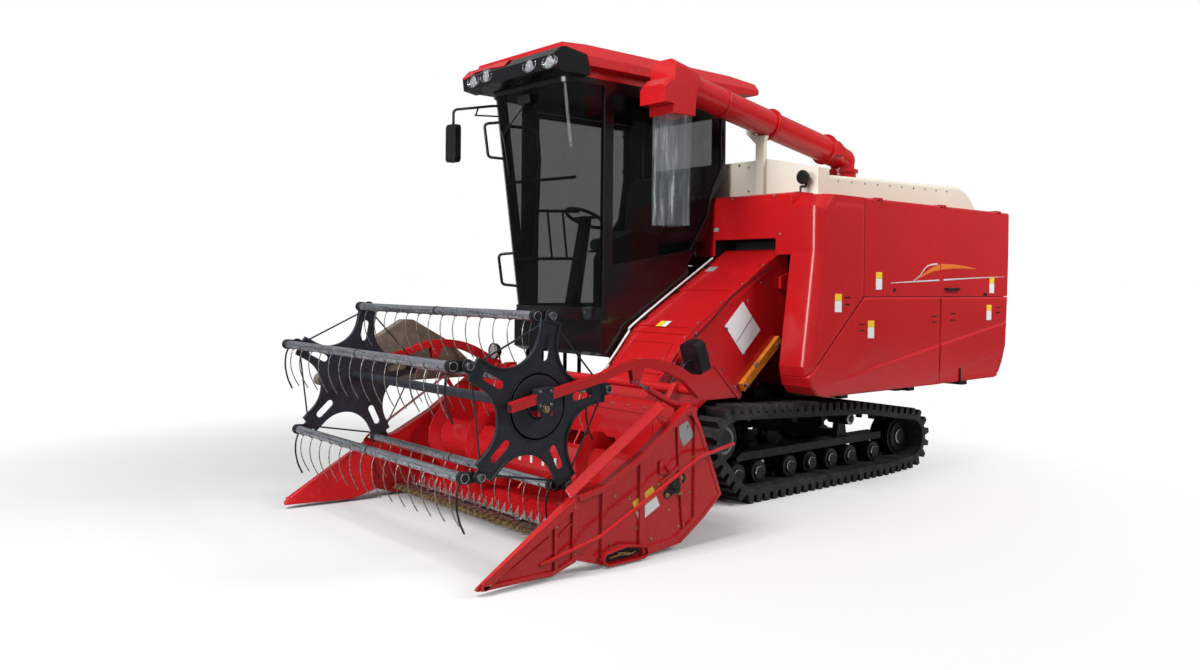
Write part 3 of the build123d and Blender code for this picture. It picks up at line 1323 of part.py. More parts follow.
knife_half = header_inner_left - header_middle - knife_stroke - moving_gap
with BuildPart() as knife:
    with BuildSketch(Plane.XY.offset(knife_z)):
        with Locations((header_middle, knife_y - 8)):
            Rectangle(2 * knife_half, 22)
        for index in range(guard_count):
            x = guard_first + index * knife_pitch
            outline((x - 36, knife_y - 17), (x + 36, knife_y - 17), (x + 8, knife_y - 74),
                    (x - 8, knife_y - 74))
        with Locations((header_middle, knife_y - 50)):
            Rectangle(2 * knife_half, 200, mode=Mode.INTERSECT)
    extrude(amount=4)
knife.part.label = "knife"
export_step(knife.part, "parts/knife.step")

# ---------------------------------------------------------------- header auger
flight_steps = 16
flight_thickness = 6.0


def auger_flight(start, end, hand):
    """Flat-sided helical strip from one x to another, turning by a hand of +1 or -1."""
    pitch = 520.0
    inner = (auger_drum + seat_gap) / cos(pi_step)
    count = round(abs(end - start) / pitch * flight_steps)
    with BuildPart() as strip:
        for index in range(count + 1):
            x = start + (end - start) * index / count
            angle = hand * 360.0 * index / flight_steps
            radial = (0, sin(radians(angle)), cos(radians(angle)))
            with BuildSketch(Plane(origin=(x, auger_y, auger_z), x_dir=radial,
                                   z_dir=(0, cos(radians(angle)), -sin(radians(angle))))):
                with Locations(((inner + flight_radius) / 2, 0)):
                    Rectangle(flight_radius - inner, flight_thickness)
        loft(ruled=True)
    return strip.part


pi_step = radians(180.0 / flight_steps)
auger_gap = moving_gap
with BuildPart() as header_auger:
    with BuildSketch(Plane.YZ.offset(header_inner_right + auger_gap)):
        with Locations((auger_y, auger_z)):
            Circle(auger_drum)
    extrude(amount=header_inner_left - header_inner_right - 2 * auger_gap)
    with BuildSketch(Plane.YZ.offset(header_inner_right - 40)):
        with Locations((auger_y, auger_z)):
            Circle(24 + seat_gap - pin_clearance)
    extrude(amount=header_inner_left - header_inner_right + 80)
    # fingers over the feeder's mouth
    for index in range(8):
        x = feeder_right + 60 + index * (feeder_left - feeder_right - 120) / 7
        with Locations((x, auger_y, auger_z)):
            with Locations(Rotation(index * 137.5, 0, 0)):
                with Locations((0, 0, auger_drum + 50)):
                    Cylinder(8, 120)
    add(auger_flight(header_inner_left - 40, feeder_left - 20, 1))
    add(auger_flight(header_inner_right + 40, feeder_right + 20, -1))
header_auger.part.label = "header_auger"
export_step(header_auger.part, "parts/header_auger.step")

# ---------------------------------------------------------------- lift cylinders
lift_barrel_radius = 32.0
lift_rod_radius = 17.0
lift_pin = 18.0
lift_length = hypot(lift_eye_y - lift_foot_y, lift_eye_z - lift_foot_z)
lift_barrel_length = 590.0
lift_plane = Plane(origin=(lift_x, lift_foot_y, lift_foot_z), x_dir=(1, 0, 0),
                   z_dir=(0, lift_eye_y - lift_foot_y, lift_eye_z - lift_foot_z))
with BuildPart() as lift_barrel:
    with BuildSketch(lift_plane):
        Circle(lift_barrel_radius)
    extrude(amount=lift_barrel_length)
    with BuildSketch(lift_plane.offset(lift_barrel_length - 30)):
        Circle(lift_barrel_radius + 5)
    extrude(amount=30)
    with BuildSketch(lift_plane.offset(60)):
        Circle(lift_rod_radius + pin_clearance)
    extrude(amount=lift_barrel_length, mode=Mode.SUBTRACT)
    with Locations((lift_x, lift_foot_y, lift_foot_z)):
        with Locations(Rotation(0, 90, 0)):
            Cylinder(36, 60)
            Cylinder(lift_pin, 126)
lift_barrel.part.label = "lift_barrel"
export_step(lift_barrel.part, "parts/lift_barrel.step")

with BuildPart() as lift_rod:
    with BuildSketch(lift_plane.offset(170)):
        Circle(lift_rod_radius)
    extrude(amount=lift_length - 170)
    with Locations((lift_x, lift_eye_y, lift_eye_z)):
        with Locations(Rotation(0, 90, 0)):
            Cylinder(28, 50)
            Cylinder(12, 108)
lift_rod.part.label = "lift_rod"
export_step(lift_rod.part, "parts/lift_rod.step")

reel_cylinder_length = hypot(reel_eye_y - reel_foot_y, reel_eye_z - reel_foot_z)
reel_cylinder_planes = [Plane(origin=(x, reel_foot_y, reel_foot_z), x_dir=(1, 0, 0),
                              z_dir=(0, reel_eye_y - reel_foot_y, reel_eye_z - reel_foot_z))
                        for x in (arm_left, arm_right)]
with BuildPart() as reel_barrels:
    for plane in reel_cylinder_planes:
        with BuildSketch(plane.offset(30)):
            Circle(21)
        extrude(amount=260)
        with BuildSketch(plane):
            Circle(11)
        extrude(amount=40)
        with BuildSketch(plane.offset(60)):
            Circle(10 + pin_clearance)
        extrude(amount=300, mode=Mode.SUBTRACT)
    for x in (arm_left, arm_right):
        with Locations((x, reel_foot_y, reel_foot_z)):
            with Locations(Rotation(0, 90, 0)):
                Cylinder(20, 24)
                Cylinder(9, 46)
reel_barrels.part.label = "reel_barrels"
export_step(reel_barrels.part, "parts/reel_barrels.step")

with BuildPart() as reel_rods:
    for plane in reel_cylinder_planes:
        with BuildSketch(plane.offset(100)):
            Circle(10)
        extrude(amount=reel_cylinder_length - 100)
    for x in (arm_left, arm_right):
        with Locations((x, reel_eye_y, reel_eye_z)):
            with Locations(Rotation(0, 90, 0)):
                Cylinder(17, 22)
                Cylinder(8, 46)
reel_rods.part.label = "reel_rods"
export_step(reel_rods.part, "parts/reel_rods.step")

# ---------------------------------------------------------------- reel
shaft_radius = 20.0
block_width = 96.0
with BuildPart() as reel_arms:
    for x in (arm_left, arm_right):
        # square tube with a crest over the header's side
        with BuildSketch(Plane.YZ.offset(x - arm_size / 2)):
            with BuildLine():
                Line((-2800, 923), (-2160, 1050))
                ThreePointArc((-2160, 1050), (-1800, 1112), (-1500, 1010))
                Polyline((-1500, 1010), (-1370, 900), (-1290, 900), (-1290, 975), (-1470, 1072))
                ThreePointArc((-1470, 1072), (-1790, 1170), (-2160, 1104))
                Polyline((-2160, 1104), (-2800, 975), (-2800, 923))
            make_face()
        extrude(amount=arm_size)
        # block that holds the reel's shaft, clamped round the arm
        with BuildSketch(Plane.YZ.offset(x - arm_size / 2 - 6)):
            with Locations((reel_y, (1025 + reel_z - 45) / 2)):
                Rectangle(block_width, 1025 - reel_z + 45)
        extrude(amount=arm_size + 12)
        # ears for the lift cylinder's rod
        for side in (-1, 1):
            with BuildSketch(Plane.YZ.offset(x + side * 18 - 4)):
                outline((reel_eye_y - 40, 1110), (reel_eye_y + 60, 1118), (reel_eye_y + 20, reel_eye_z - 16),
                        (reel_eye_y - 20, reel_eye_z - 16))
                with Locations((reel_eye_y, reel_eye_z)):
                    Circle(reel_eye_bore, mode=Mode.SUBTRACT)
            extrude(amount=8)
    # cross tube that the arms swing on
    with BuildSketch(Plane.YZ.offset(arm_right)):
        with Locations((arm_pivot_y, arm_pivot_z)):
            Circle(30)
    extrude(amount=arm_left - arm_right)
    # stand-offs that carry the belt guard
    for y, z in ((-2105, 1084), (-1700, 1135)):
        with BuildSketch(Plane.YZ.offset(guard_right + guard_width + seat_gap)):
            with Locations((y, z)):
                Circle(13)
        extrude(amount=arm_right - guard_right - guard_width - seat_gap)
    with BuildSketch(Plane.YZ.offset(arm_right - 200)):
        with Locations((reel_y, reel_z)):
            Circle(shaft_radius + pin_clearance)
    extrude(amount=arm_left - arm_right + 400, mode=Mode.SUBTRACT)
reel_arms.part.label = "reel_arms"
export_step(reel_arms.part, "parts/reel_arms.step")

with BuildPart() as belt_guard:
    with BuildSketch(Plane.YZ.offset(guard_right)) as guard:
        outline((-2915, 850), (-1345, 850), (-1700, 1150), (-2020, 1325), (-2100, 1325))
        fillet(guard.vertices(), 45)
    extrude(amount=guard_width)
belt_guard.part.label = "belt_guard"
export_step(belt_guard.part, "parts/belt_guard.step")

spider_thickness = 10.0
spider_tip = 485.0
web_half = 70.0
web_curve = 215.0         # radius of the notch between two arms
rim_width = 9.0           # raised edge round a spider
rim_height = 11.0
hub_radius = 185.0
bat_pin = 12.0


def spider_gap():
    """Rounded notch between two of a spider's arms, with its axis along +Y."""
    half = 180.0 / bat_count
    apex = web_half / sin(radians(half))
    reach = 700.0
    with BuildSketch() as gap:
        Polygon((0, apex), (-reach * sin(radians(half)), apex + reach * cos(radians(half))),
                (reach * sin(radians(half)), apex + reach * cos(radians(half))), align=None)
        fillet(gap.vertices().sort_by(Axis.Y)[0], web_curve)
    return gap.sketch


reel_angles = [-bat_phase + 360.0 / bat_count * index for index in range(bat_count)]
with BuildPart() as reel_core:
    with BuildSketch(Plane.YZ.offset(arm_right - arm_size / 2 - 20)):
        with Locations((reel_y, reel_z)):
            Circle(shaft_radius)
    extrude(amount=arm_left - arm_right + arm_size + 40)
    with BuildSketch(Plane.YZ.offset(reel_right)):
        with Locations((reel_y, reel_z)):
            Circle(30)
    extrude(amount=reel_left - reel_right)
    for middle, outward in ((reel_left, 1), (reel_right, -1)):
        with BuildSketch(Plane.YZ.offset(middle - spider_thickness / 2)):
            with Locations((reel_y, reel_z)):
                Circle(spider_tip)
            for angle in reel_angles:
                with Locations(Location((reel_y, reel_z), angle + 180.0 / bat_count)):
                    add(spider_gap(), mode=Mode.SUBTRACT)
                # slot along each arm, and the boss that holds a bat's pin
                with Locations(Location((reel_y, reel_z), angle)):
                    with Locations((0, 330)):
                        SlotOverall(150, 48, rotation=90, mode=Mode.SUBTRACT)
                    with Locations((0, reel_radius - 20)):
                        Rectangle(72, 60)
                    with Locations((0, reel_radius)):
                        Circle(36)
                        Circle(bat_pin + pin_clearance, mode=Mode.SUBTRACT)
        extrude(amount=spider_thickness)
        with BuildSketch(Plane.YZ.offset(middle + outward * spider_thickness / 2)):
            with Locations((reel_y, reel_z)):
                Circle(hub_radius)
        extrude(amount=outward * 7)
        with BuildSketch(Plane.YZ.offset(middle + outward * spider_thickness / 2)):
            with Locations((reel_y, reel_z)):
                Circle(spider_tip)
            for angle in reel_angles:
                with Locations(Location((reel_y, reel_z), angle + 180.0 / bat_count)):
                    add(spider_gap(), mode=Mode.SUBTRACT)
            offset(amount=-rim_width, mode=Mode.SUBTRACT)
        extrude(amount=outward * rim_height)
        # rods that tie the arms' tips together
        for index in range(bat_count):
            start = radians(reel_angles[index] + 4)
            end = radians(reel_angles[index] + 360.0 / bat_count - 4)
            with BuildLine() as tie:
                Line((middle, reel_y - 470 * sin(start), reel_z + 470 * cos(start)),
                     (middle, reel_y - 470 * sin(end), reel_z + 470 * cos(end)))
            with BuildSketch(Plane(tie.line @ 0, z_dir=tie.line % 0)):
                RegularPolygon(6, 6)
            sweep()
reel_core.part.label = "reel_core"
export_step(reel_core.part, "parts/reel_core.step")

tine_pitch = 150.0
tine_count = 14
crank_thickness = 12.0
bat_inner = reel_left - spider_thickness / 2 - moving_gap


def reel_bat(angle):
    """One bat with its cranks, pins and tines, hung level at the angle of its spider arms."""
    y = reel_y - reel_radius * sin(radians(angle))
    z = reel_z + reel_radius * cos(radians(angle))
    with BuildPart() as bat:
        with BuildSketch(Plane.YZ.offset(2 * header_middle - bat_inner)):
            with Locations((y - bat_crank, z)):
                Circle(bat_radius)
        extrude(amount=2 * (bat_inner - header_middle))
        for side in (1, -1):
            start = header_middle + side * (bat_inner - header_middle)
            with BuildSketch(Plane.YZ.offset(start)):
                outline((y - bat_crank, z - bat_radius), (y, z - 20), (y, z + 20),
                        (y - bat_crank, z + bat_radius))
                with Locations((y, z)):
                    Circle(20)
            extrude(amount=-side * crank_thickness)
            with BuildSketch(Plane.YZ.offset(start)):
                with Locations((y, z)):
                    Circle(bat_pin)
            extrude(amount=side * (moving_gap + spider_thickness + 4))
        # spring tines, curved towards the crop
        for index in range(tine_count):
            x = header_middle + tine_pitch * (index - (tine_count - 1) / 2)
            with BuildSketch(Plane.YZ.offset(x - 3.5)):
                outline((y - bat_crank - 4, z - 20), (y - bat_crank + 4, z - 20), (y - bat_crank + 2, z - 110),
                        (y - bat_crank - 9, z - 200), (y - bat_crank - 30, z - 285),
                        (y - bat_crank - 37, z - 282), (y - bat_crank - 17, z - 199),
                        (y - bat_crank - 6, z - 110))
            extrude(amount=7)
    return bat.part


with BuildPart() as reel_bat_1:
    add(reel_bat(reel_angles[0]))
reel_bat_1.part.label = "reel_bat_1"
export_step(reel_bat_1.part, "parts/reel_bat_1.step")

with BuildPart() as reel_bat_2:
    add(reel_bat(reel_angles[1]))
reel_bat_2.part.label = "reel_bat_2"
export_step(reel_bat_2.part, "parts/reel_bat_2.step")

with BuildPart() as reel_bat_3:
    add(reel_bat(reel_angles[2]))
reel_bat_3.part.label = "reel_bat_3"
export_step(reel_bat_3.part, "parts/reel_bat_3.step")

with BuildPart() as reel_bat_4:
    add(reel_bat(reel_angles[3]))
reel_bat_4.part.label = "reel_bat_4"
export_step(reel_bat_4.part, "parts/reel_bat_4.step")

with BuildPart() as reel_bat_5:
    add(reel_bat(reel_angles[4]))
reel_bat_5.part.label = "reel_bat_5"
export_step(reel_bat_5.part, "parts/reel_bat_5.step")

# ---------------------------------------------------------------- mirror over the header's left end
with BuildPart() as header_mirror:
    with BuildLine() as stalk:
        FilletPolyline((feeder_left + seat_gap, -1010, 860), (feeder_left + 150, -1010, 860),
                       (feeder_left + 150, -990, 1060), (feeder_left + 150, -900, 1090), radius=30)
    with BuildSketch(Plane(stalk.line @ 0, z_dir=stalk.line % 0)):
        Circle(11)
    sweep()
    with BuildSketch(Plane(origin=(feeder_left + 150, -880, 1110), x_dir=(1, 0, 0), z_dir=(0, -1, -0.35))):
        RectangleRounded(170, 230, 40)
    extrude(amount=46, both=True)
header_mirror.part.label = "header_mirror"
export_step(header_mirror.part, "parts/header_mirror.step")
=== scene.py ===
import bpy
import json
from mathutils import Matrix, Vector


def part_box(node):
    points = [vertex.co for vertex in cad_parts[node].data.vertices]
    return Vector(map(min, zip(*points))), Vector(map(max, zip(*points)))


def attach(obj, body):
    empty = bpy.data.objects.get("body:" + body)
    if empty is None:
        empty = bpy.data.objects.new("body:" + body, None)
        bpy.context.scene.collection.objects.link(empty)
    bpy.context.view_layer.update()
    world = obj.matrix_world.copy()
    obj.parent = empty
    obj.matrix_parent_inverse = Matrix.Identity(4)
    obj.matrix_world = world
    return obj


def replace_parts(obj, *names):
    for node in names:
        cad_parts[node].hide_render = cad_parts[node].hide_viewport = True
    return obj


bl_info = {
    "name": "Tracked Harvester Dressing",
    "version": (1, 0, 0),
    "blender": (4, 5, 0),
    "location": "3D View > Sidebar > Harvester",
    "description": "Dresses the harvester's packed frame with finished surfaces, paint and a studio",
    "category": "Object",
}

import json
from math import cos, pi, radians, sin

import bmesh
import bpy
import numpy as np
from bpy.props import FloatProperty, FloatVectorProperty, IntProperty, PointerProperty
from bpy.types import Operator, Panel, PropertyGroup

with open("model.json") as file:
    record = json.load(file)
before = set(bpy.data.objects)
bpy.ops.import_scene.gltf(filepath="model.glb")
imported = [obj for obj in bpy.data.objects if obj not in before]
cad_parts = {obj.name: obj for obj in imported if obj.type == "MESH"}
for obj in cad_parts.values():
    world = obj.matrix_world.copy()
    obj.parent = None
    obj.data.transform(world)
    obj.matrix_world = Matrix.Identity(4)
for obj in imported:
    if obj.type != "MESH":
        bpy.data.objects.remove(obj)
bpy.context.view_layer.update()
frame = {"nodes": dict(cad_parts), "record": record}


# ------------------------------------------------------------------ surfaces
def arr(*rows):
    """Rows of numbers as one array of floats."""
    return np.array(rows, float)


def low(node):
    """Lowest corner of a node as an array."""
    return np.array(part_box(node)[0])


def high(node):
    """Highest corner of a node as an array."""
    return np.array(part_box(node)[1])


def unit(vectors):
    """Each vector divided by its own length."""
    return vectors / np.maximum(np.linalg.norm(vectors, axis=-1, keepdims=True), 1e-12)


def grid_faces(rows, columns, wrap_rows=False, wrap_columns=False):
    """Quads of a grid of points: point (i, j) joins (i, j+1), (i+1, j+1) and (i+1, j)."""
    i = np.arange(rows if wrap_rows else rows - 1)[:, None]
    j = np.arange(columns if wrap_columns else columns - 1)[None, :]
    a = i * columns + j
    b = i * columns + (j + 1) % columns
    c = (i + 1) % rows * columns + (j + 1) % columns
    d = (i + 1) % rows * columns + j
    return np.stack([a, b, c, d], -1).reshape(-1, 4)


def loft(sections, closed=False, caps=True):
    """Skin through sections of equal point counts: quads join each section to the next,
    and a polygon closes each end unless the row of sections closes on itself."""
    sections = np.asarray(sections, float)
    n, m = sections.shape[:2]
    faces = grid_faces(n, m, wrap_rows=closed, wrap_columns=True).tolist()
    if caps and not closed:
        faces.append(list(range(m))[::-1])
        faces.append(list(range((n - 1) * m, n * m)))
    return sections.reshape(-1, 3), faces


def joined(*parts):
    """Several (points, faces) pairs as one pair, each part's faces shifted past the points before."""
    points, faces, start = [], [], 0
    for p, f in parts:
        points.append(np.asarray(p, float))
        faces.extend([[k + start for k in face] for face in f])
        start += len(p)
    return np.concatenate(points), faces


def repeated(part, places, turns=None):
    """Copies of one part: each point turned by that copy's matrix, if any, then moved to its place."""
    points, places = np.asarray(part[0], float), np.asarray(places, float)
    posed = points[None] if turns is None else np.einsum("nij,pj->npi", np.asarray(turns), points)
    copies = posed + places[:, None, :]
    faces = [[k + n * len(points) for k in f] for n in range(len(places)) for f in part[1]]
    return copies.reshape(-1, 3), faces


def smooth_path(points, steps=8, closed=False):
    """Points along a smooth curve through the given ones: between two of them, each point is the
    cubic of the four nearest (Catmull-Rom)."""
    p = np.asarray(points, float)
    if closed:
        p = np.concatenate([p[-1:], p, p[:2]])
    else:
        p = np.concatenate([2 * p[:1] - p[1:2], p, 2 * p[-1:] - p[-2:-1]])
    t = np.linspace(0, 1, steps, endpoint=False)[None, :, None]
    a, b, c, d = p[:-3, None], p[1:-2, None], p[2:-1, None], p[3:, None]
    curve = 0.5 * (2 * b + (c - a) * t + (2 * a - 5 * b + 4 * c - d) * t**2
                   + (3 * b - a - 3 * c + d) * t**3)
    curve = curve.reshape(-1, p.shape[1])
    return curve if closed else np.concatenate([curve, p[-2:-1]])


def carried(path, profile, up=(0, 0, 1), closed=False):
    """A flat profile carried along a path: at each point its x runs to the side, which is the
    tangent crossed with up, and its y along the side crossed with the tangent."""
    path, profile = np.asarray(path, float), np.asarray(profile, float)
    ahead = np.roll(path, -1, 0) if closed else np.concatenate([path[1:], 2 * path[-1:] - path[-2:-1]])
    behind = np.roll(path, 1, 0) if closed else np.concatenate([2 * path[:1] - path[1:2], path[:-1]])
    tangent = unit(unit(ahead - path) + unit(path - behind))
    side = unit(np.cross(tangent, np.asarray(up, float)))
    rise = np.cross(side, tangent)
    sections = path[:, None] + profile[None, :, :1] * side[:, None] + profile[None, :, 1:] * rise[:, None]
    return loft(sections, closed=closed)


def ring(radius, sides=12, squash=1.0, start=0.0):
    """Points of a circle, or of an ellipse when squashed: (r cos a, r squash sin a)."""
    a = start + np.arange(sides) * 2 * pi / sides
    return np.stack([radius * np.cos(a), radius * squash * np.sin(a)], -1)


def oblong(width, height, radius, steps=4):
    """Rectangle with rounded corners: a quarter circle of the radius at each corner."""
    a = np.linspace(0, pi / 2, steps + 1)
    out, rise = width / 2 - radius, height / 2 - radius
    corners = [(out, rise, 0), (-out, rise, pi / 2), (-out, -rise, pi), (out, -rise, 1.5 * pi)]
    return np.concatenate([np.stack([x + radius * np.cos(a + s), y + radius * np.sin(a + s)], -1)
                           for x, y, s in corners])


def tube(points, radius, sides=10, steps=0, up=(0, 0, 1)):
    """Round bar along a path, smoothed first when steps are given."""
    path = smooth_path(points, steps) if steps else np.asarray(points, float)
    return carried(path, ring(radius, sides), up)


def turned(profile, centre, axis="x", sides=32):
    """Profile of (distance along the axis, radius) spun about an axis through a centre."""
    profile = np.asarray(profile, float)
    a = np.arange(sides) * 2 * pi / sides
    along = np.repeat(profile[:, :1], sides, 1)
    first, second = profile[:, 1:] * np.cos(a), profile[:, 1:] * np.sin(a)
    order = {"x": (along, first, second), "y": (second, along, first), "z": (first, second, along)}[axis]
    return loft(np.stack(order, -1) + np.asarray(centre, float))


def slab(outline, start, end, axis="x"):
    """Flat outline given a thickness along an axis: for x it holds (y, z), for y (x, z), for z (x, y)."""
    outline = np.asarray(outline, float)
    ends = []
    for value in (start, end):
        third = np.full(len(outline), float(value))
        a, b = outline[:, 0], outline[:, 1]
        ends.append(np.stack({"x": (third, a, b), "y": (a, third, b), "z": (a, b, third)}[axis], -1))
    return loft(np.stack(ends))


def block(lowest, highest):
    """Plain box between two corners, for a part whose edges a bevel then rounds."""
    (x0, y0, z0), (x1, y1, z1) = lowest, highest
    return slab([(x0, y0), (x1, y0), (x1, y1), (x0, y1)], z0, z1, "z")


def hexagon_bolt(radius, height):
    """Washer with a six sided head on it, standing on +Z: rings of growing and shrinking radius."""
    washer = ring(radius * 1.45, 12)
    rows = [(washer, 0), (washer, height * 0.2), (ring(radius * 1.02, 12), height * 0.2),
            (ring(radius, 12), height * 0.9), (ring(radius * 0.8, 12), height)]
    return loft([np.concatenate([r, np.full((12, 1), z)], 1) for r, z in rows])


def facing(axis):
    """Matrix that turns +Z to a direction, its first column level."""
    w = unit(np.asarray(axis, float))
    u = np.cross((0, 0, 1), w) if abs(w[2]) < 0.95 else np.cross((0, 1, 0), w)
    u = unit(u)
    return np.stack([u, np.cross(w, u), w], -1)


def bolts(places, axis, radius=0.009, height=0.008):
    """Bolt heads at places, all facing one way."""
    return repeated(hexagon_bolt(radius, height), places, [facing(axis)] * len(places))


def piece(name, part, finish, body="machine", bevel=0.0, angle=32, segments=2):
    """Mesh object of one part with a finish, its sharp edges marked, riding on a body."""
    points, faces = part
    mesh = bpy.data.meshes.new(name)
    mesh.from_pydata(np.asarray(points, float).tolist(), [], [list(map(int, f)) for f in faces])
    mesh.validate()
    rounds = bmesh.new()
    rounds.from_mesh(mesh)
    bmesh.ops.recalc_face_normals(rounds, faces=rounds.faces)
    rounds.to_mesh(mesh)
    rounds.free()
    mesh.shade_smooth()
    mesh.set_sharp_from_angle(angle=radians(angle))
    mesh.materials.append(bpy.data.materials[finish])
    made = bpy.data.objects.new(name, mesh)
    bpy.context.scene.collection.objects.link(made)
    if bevel:
        edge = made.modifiers.new("Rounded edges", "BEVEL")
        edge.width, edge.segments, edge.limit_method = bevel, segments, "ANGLE"
        edge.angle_limit = radians(angle)
        edge.harden_normals = True
    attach(made, body)
    return made


# ------------------------------------------------------------------ finishes
class Graph:
    """A material's nodes, wired one call at a time."""

    def __init__(self, name):
        self.material = bpy.data.materials.new(name)
        self.material.use_nodes = True
        tree = self.material.node_tree
        self.nodes, self.links = tree.nodes, tree.links
        self.shader = self.nodes["Principled BSDF"]
        self.place = self.nodes.new("ShaderNodeTexCoord").outputs["Object"]

    def wire(self, value, socket):
        """Link an output to a socket, or set the socket to a plain value."""
        if isinstance(value, bpy.types.NodeSocket):
            self.links.new(value, socket)
        else:
            socket.default_value = value

    def add(self, kind, **inputs):
        """New node of a kind with its named inputs filled."""
        node = self.nodes.new(kind)
        for name, value in inputs.items():
            self.wire(value, node.inputs[name])
        return node

    def noise(self, scale, detail=3.0, stretch=None, rough=0.5):
        """Noise over the object's own coordinates, drawn out along an axis when stretched."""
        place = self.place
        if stretch:
            place = self.add("ShaderNodeMapping", Vector=place, Scale=stretch).outputs[0]
        return self.add("ShaderNodeTexNoise", Vector=place, Scale=scale, Detail=detail,
                        Roughness=rough).outputs["Fac"]

    def spread(self, value, from_low, from_high, to_low, to_high):
        """A value carried from one range to another and held inside it."""
        node = self.add("ShaderNodeMapRange", Value=value)
        for name, number in (("From Min", from_low), ("From Max", from_high), ("To Min", to_low),
                             ("To Max", to_high)):
            node.inputs[name].default_value = number
        return node.outputs[0]

    def math(self, operation, first, second=0.5):
        """The named operation of arithmetic on two values."""
        node = self.nodes.new("ShaderNodeMath")
        node.operation = operation
        self.wire(first, node.inputs[0])
        self.wire(second, node.inputs[1])
        return node.outputs[0]

    def mix(self, factor, first, second):
        """Colour between two by a factor."""
        node = self.nodes.new("ShaderNodeMix")
        node.data_type = "RGBA"
        self.wire(factor, node.inputs[0])
        self.wire(first if isinstance(first, bpy.types.NodeSocket) else (*first[:3], 1.0), node.inputs[6])
        self.wire(second if isinstance(second, bpy.types.NodeSocket) else (*second[:3], 1.0), node.inputs[7])
        return node.outputs[2]

    def height(self):
        """Height above the ground of each point."""
        return self.add("ShaderNodeSeparateXYZ", Vector=self.place).outputs["Z"]

    def bump(self, value, strength, distance, under=None):
        """Relief from a value, laid over another relief when one is given."""
        node = self.add("ShaderNodeBump", Height=value, Strength=strength, Distance=distance)
        if under is not None:
            self.wire(under, node.inputs["Normal"])
        return node.outputs[0]

    def rounded(self, radius=0.004):
        """Normals rounded over the sharp edges of pressed sheet and castings."""
        node = self.add("ShaderNodeBevel", Radius=radius)
        node.samples = 6
        return node.outputs[0]

    def finish(self, **inputs):
        """Fill the shader's sockets and give back the material."""
        for name, value in inputs.items():
            self.wire(value, self.shader.inputs[name.replace("_", " ")])
        return self.material


def shade(colour, factor):
    """A colour made lighter or darker by a factor."""
    return tuple(min(1.0, c * factor) for c in colour[:3])


def gloss_paint(name, colour, rough=0.24, coat=0.35, dust=0.10, edge=0.006):
    """Sprayed paint on pressed sheet: slow colour drift, orange peel, faint waves and road dust low down."""
    g = Graph(name)
    drift = g.mix(g.spread(g.noise(1.7, 2.0), 0.3, 0.7, 0.0, 1.0), shade(colour, 0.96), shade(colour, 1.04))
    low_down = g.spread(g.height(), 0.05, 1.15, 1.0, 0.0)
    specks = g.spread(g.noise(38.0, 6.0, rough=0.65), 0.48, 0.75, 0.0, 1.0)
    dusty = g.math("MULTIPLY", g.math("MULTIPLY", low_down, specks), dust)
    base = g.mix(dusty, drift, (0.42, 0.34, 0.27))
    smear = g.spread(g.noise(2.2, 2.0), 0.35, 0.7, rough - 0.02, rough + 0.05)
    rough_here = g.math("ADD", smear, g.math("MULTIPLY", dusty, 0.8))
    waves = g.bump(g.noise(2.6, 1.0), 0.06, 0.02, g.rounded(edge))
    peel = g.bump(g.noise(420.0, 2.0), 0.03, 0.0006, waves)
    return g.finish(Base_Color=base, Roughness=rough_here, Normal=peel, Coat_Weight=coat,
                    Coat_Roughness=0.05, Specular_IOR_Level=0.4)


def cast_paint(name, colour, rough=0.5, grain=140.0, dust=0.18, edge=0.004):
    """Thick paint over castings and weldments: fine grain, worn lighter patches and dust."""
    g = Graph(name)
    patch = g.spread(g.noise(14.0, 6.0, rough=0.6), 0.42, 0.72, 0.0, 1.0)
    base = g.mix(patch, shade(colour, 0.85), shade(colour, 1.25))
    low_down = g.spread(g.height(), 0.0, 1.1, 1.0, 0.1)
    specks = g.spread(g.noise(60.0, 7.0, rough=0.7), 0.5, 0.72, 0.0, 1.0)
    base = g.mix(g.math("MULTIPLY", g.math("MULTIPLY", low_down, specks), dust), base, (0.36, 0.31, 0.26))
    relief = g.bump(g.noise(grain, 4.0), 0.10, 0.0010, g.rounded(edge))
    return g.finish(Base_Color=base, Roughness=g.spread(patch, 0.0, 1.0, rough - 0.06, rough + 0.12),
                    Normal=relief, Specular_IOR_Level=0.4)


def bare_metal(name, colour, rough=0.32, streak=(3.0, 60.0, 60.0), metallic=1.0):
    """Zinc or worn steel: streaks along the bar, spangle and dulled patches; the colour of the streaks is
    spread into wide light and dark bands, a painted highlight and painted dark reflection bands.
    """
    g = Graph(name)
    lines = g.noise(1.0, 5.0, stretch=streak, rough=0.6)
    spangle = g.noise(55.0, 4.0, rough=0.6)
    spangle_streaks_and_highlights = g.math("ADD", g.math("MULTIPLY", lines, 0.6), g.math("MULTIPLY", spangle, 0.4))
    # painted highlight and painted reflection: the streaks spread the colour from a third to five quarters
    # of the metal's own
    base = g.mix(g.spread(spangle_streaks_and_highlights, 0.41, 0.60, 0.0, 1.0), shade(colour, 0.34), shade(colour, 1.25))
    relief = g.bump(spangle_streaks_and_highlights, 0.18, 0.001, g.rounded(0.002))
    return g.finish(Base_Color=base, Roughness=g.spread(spangle_streaks_and_highlights, 0.3, 0.7, rough + 0.16, rough - 0.1),
                    Normal=relief, Metallic=metallic)


def moulded(name, colour, rough=0.45, grain=600.0, depth=0.10):
    """Moulded plastic or rubber with a fine grain and a little scuffing."""
    g = Graph(name)
    scuff = g.spread(g.noise(22.0, 6.0, rough=0.65), 0.5, 0.78, 0.0, 1.0)
    base = g.mix(scuff, colour, shade(colour, 1.6))
    relief = g.bump(g.noise(grain, 2.0), depth, 0.0005, g.rounded(0.003))
    return g.finish(Base_Color=base, Roughness=g.spread(scuff, 0.0, 1.0, rough, rough + 0.15), Normal=relief)


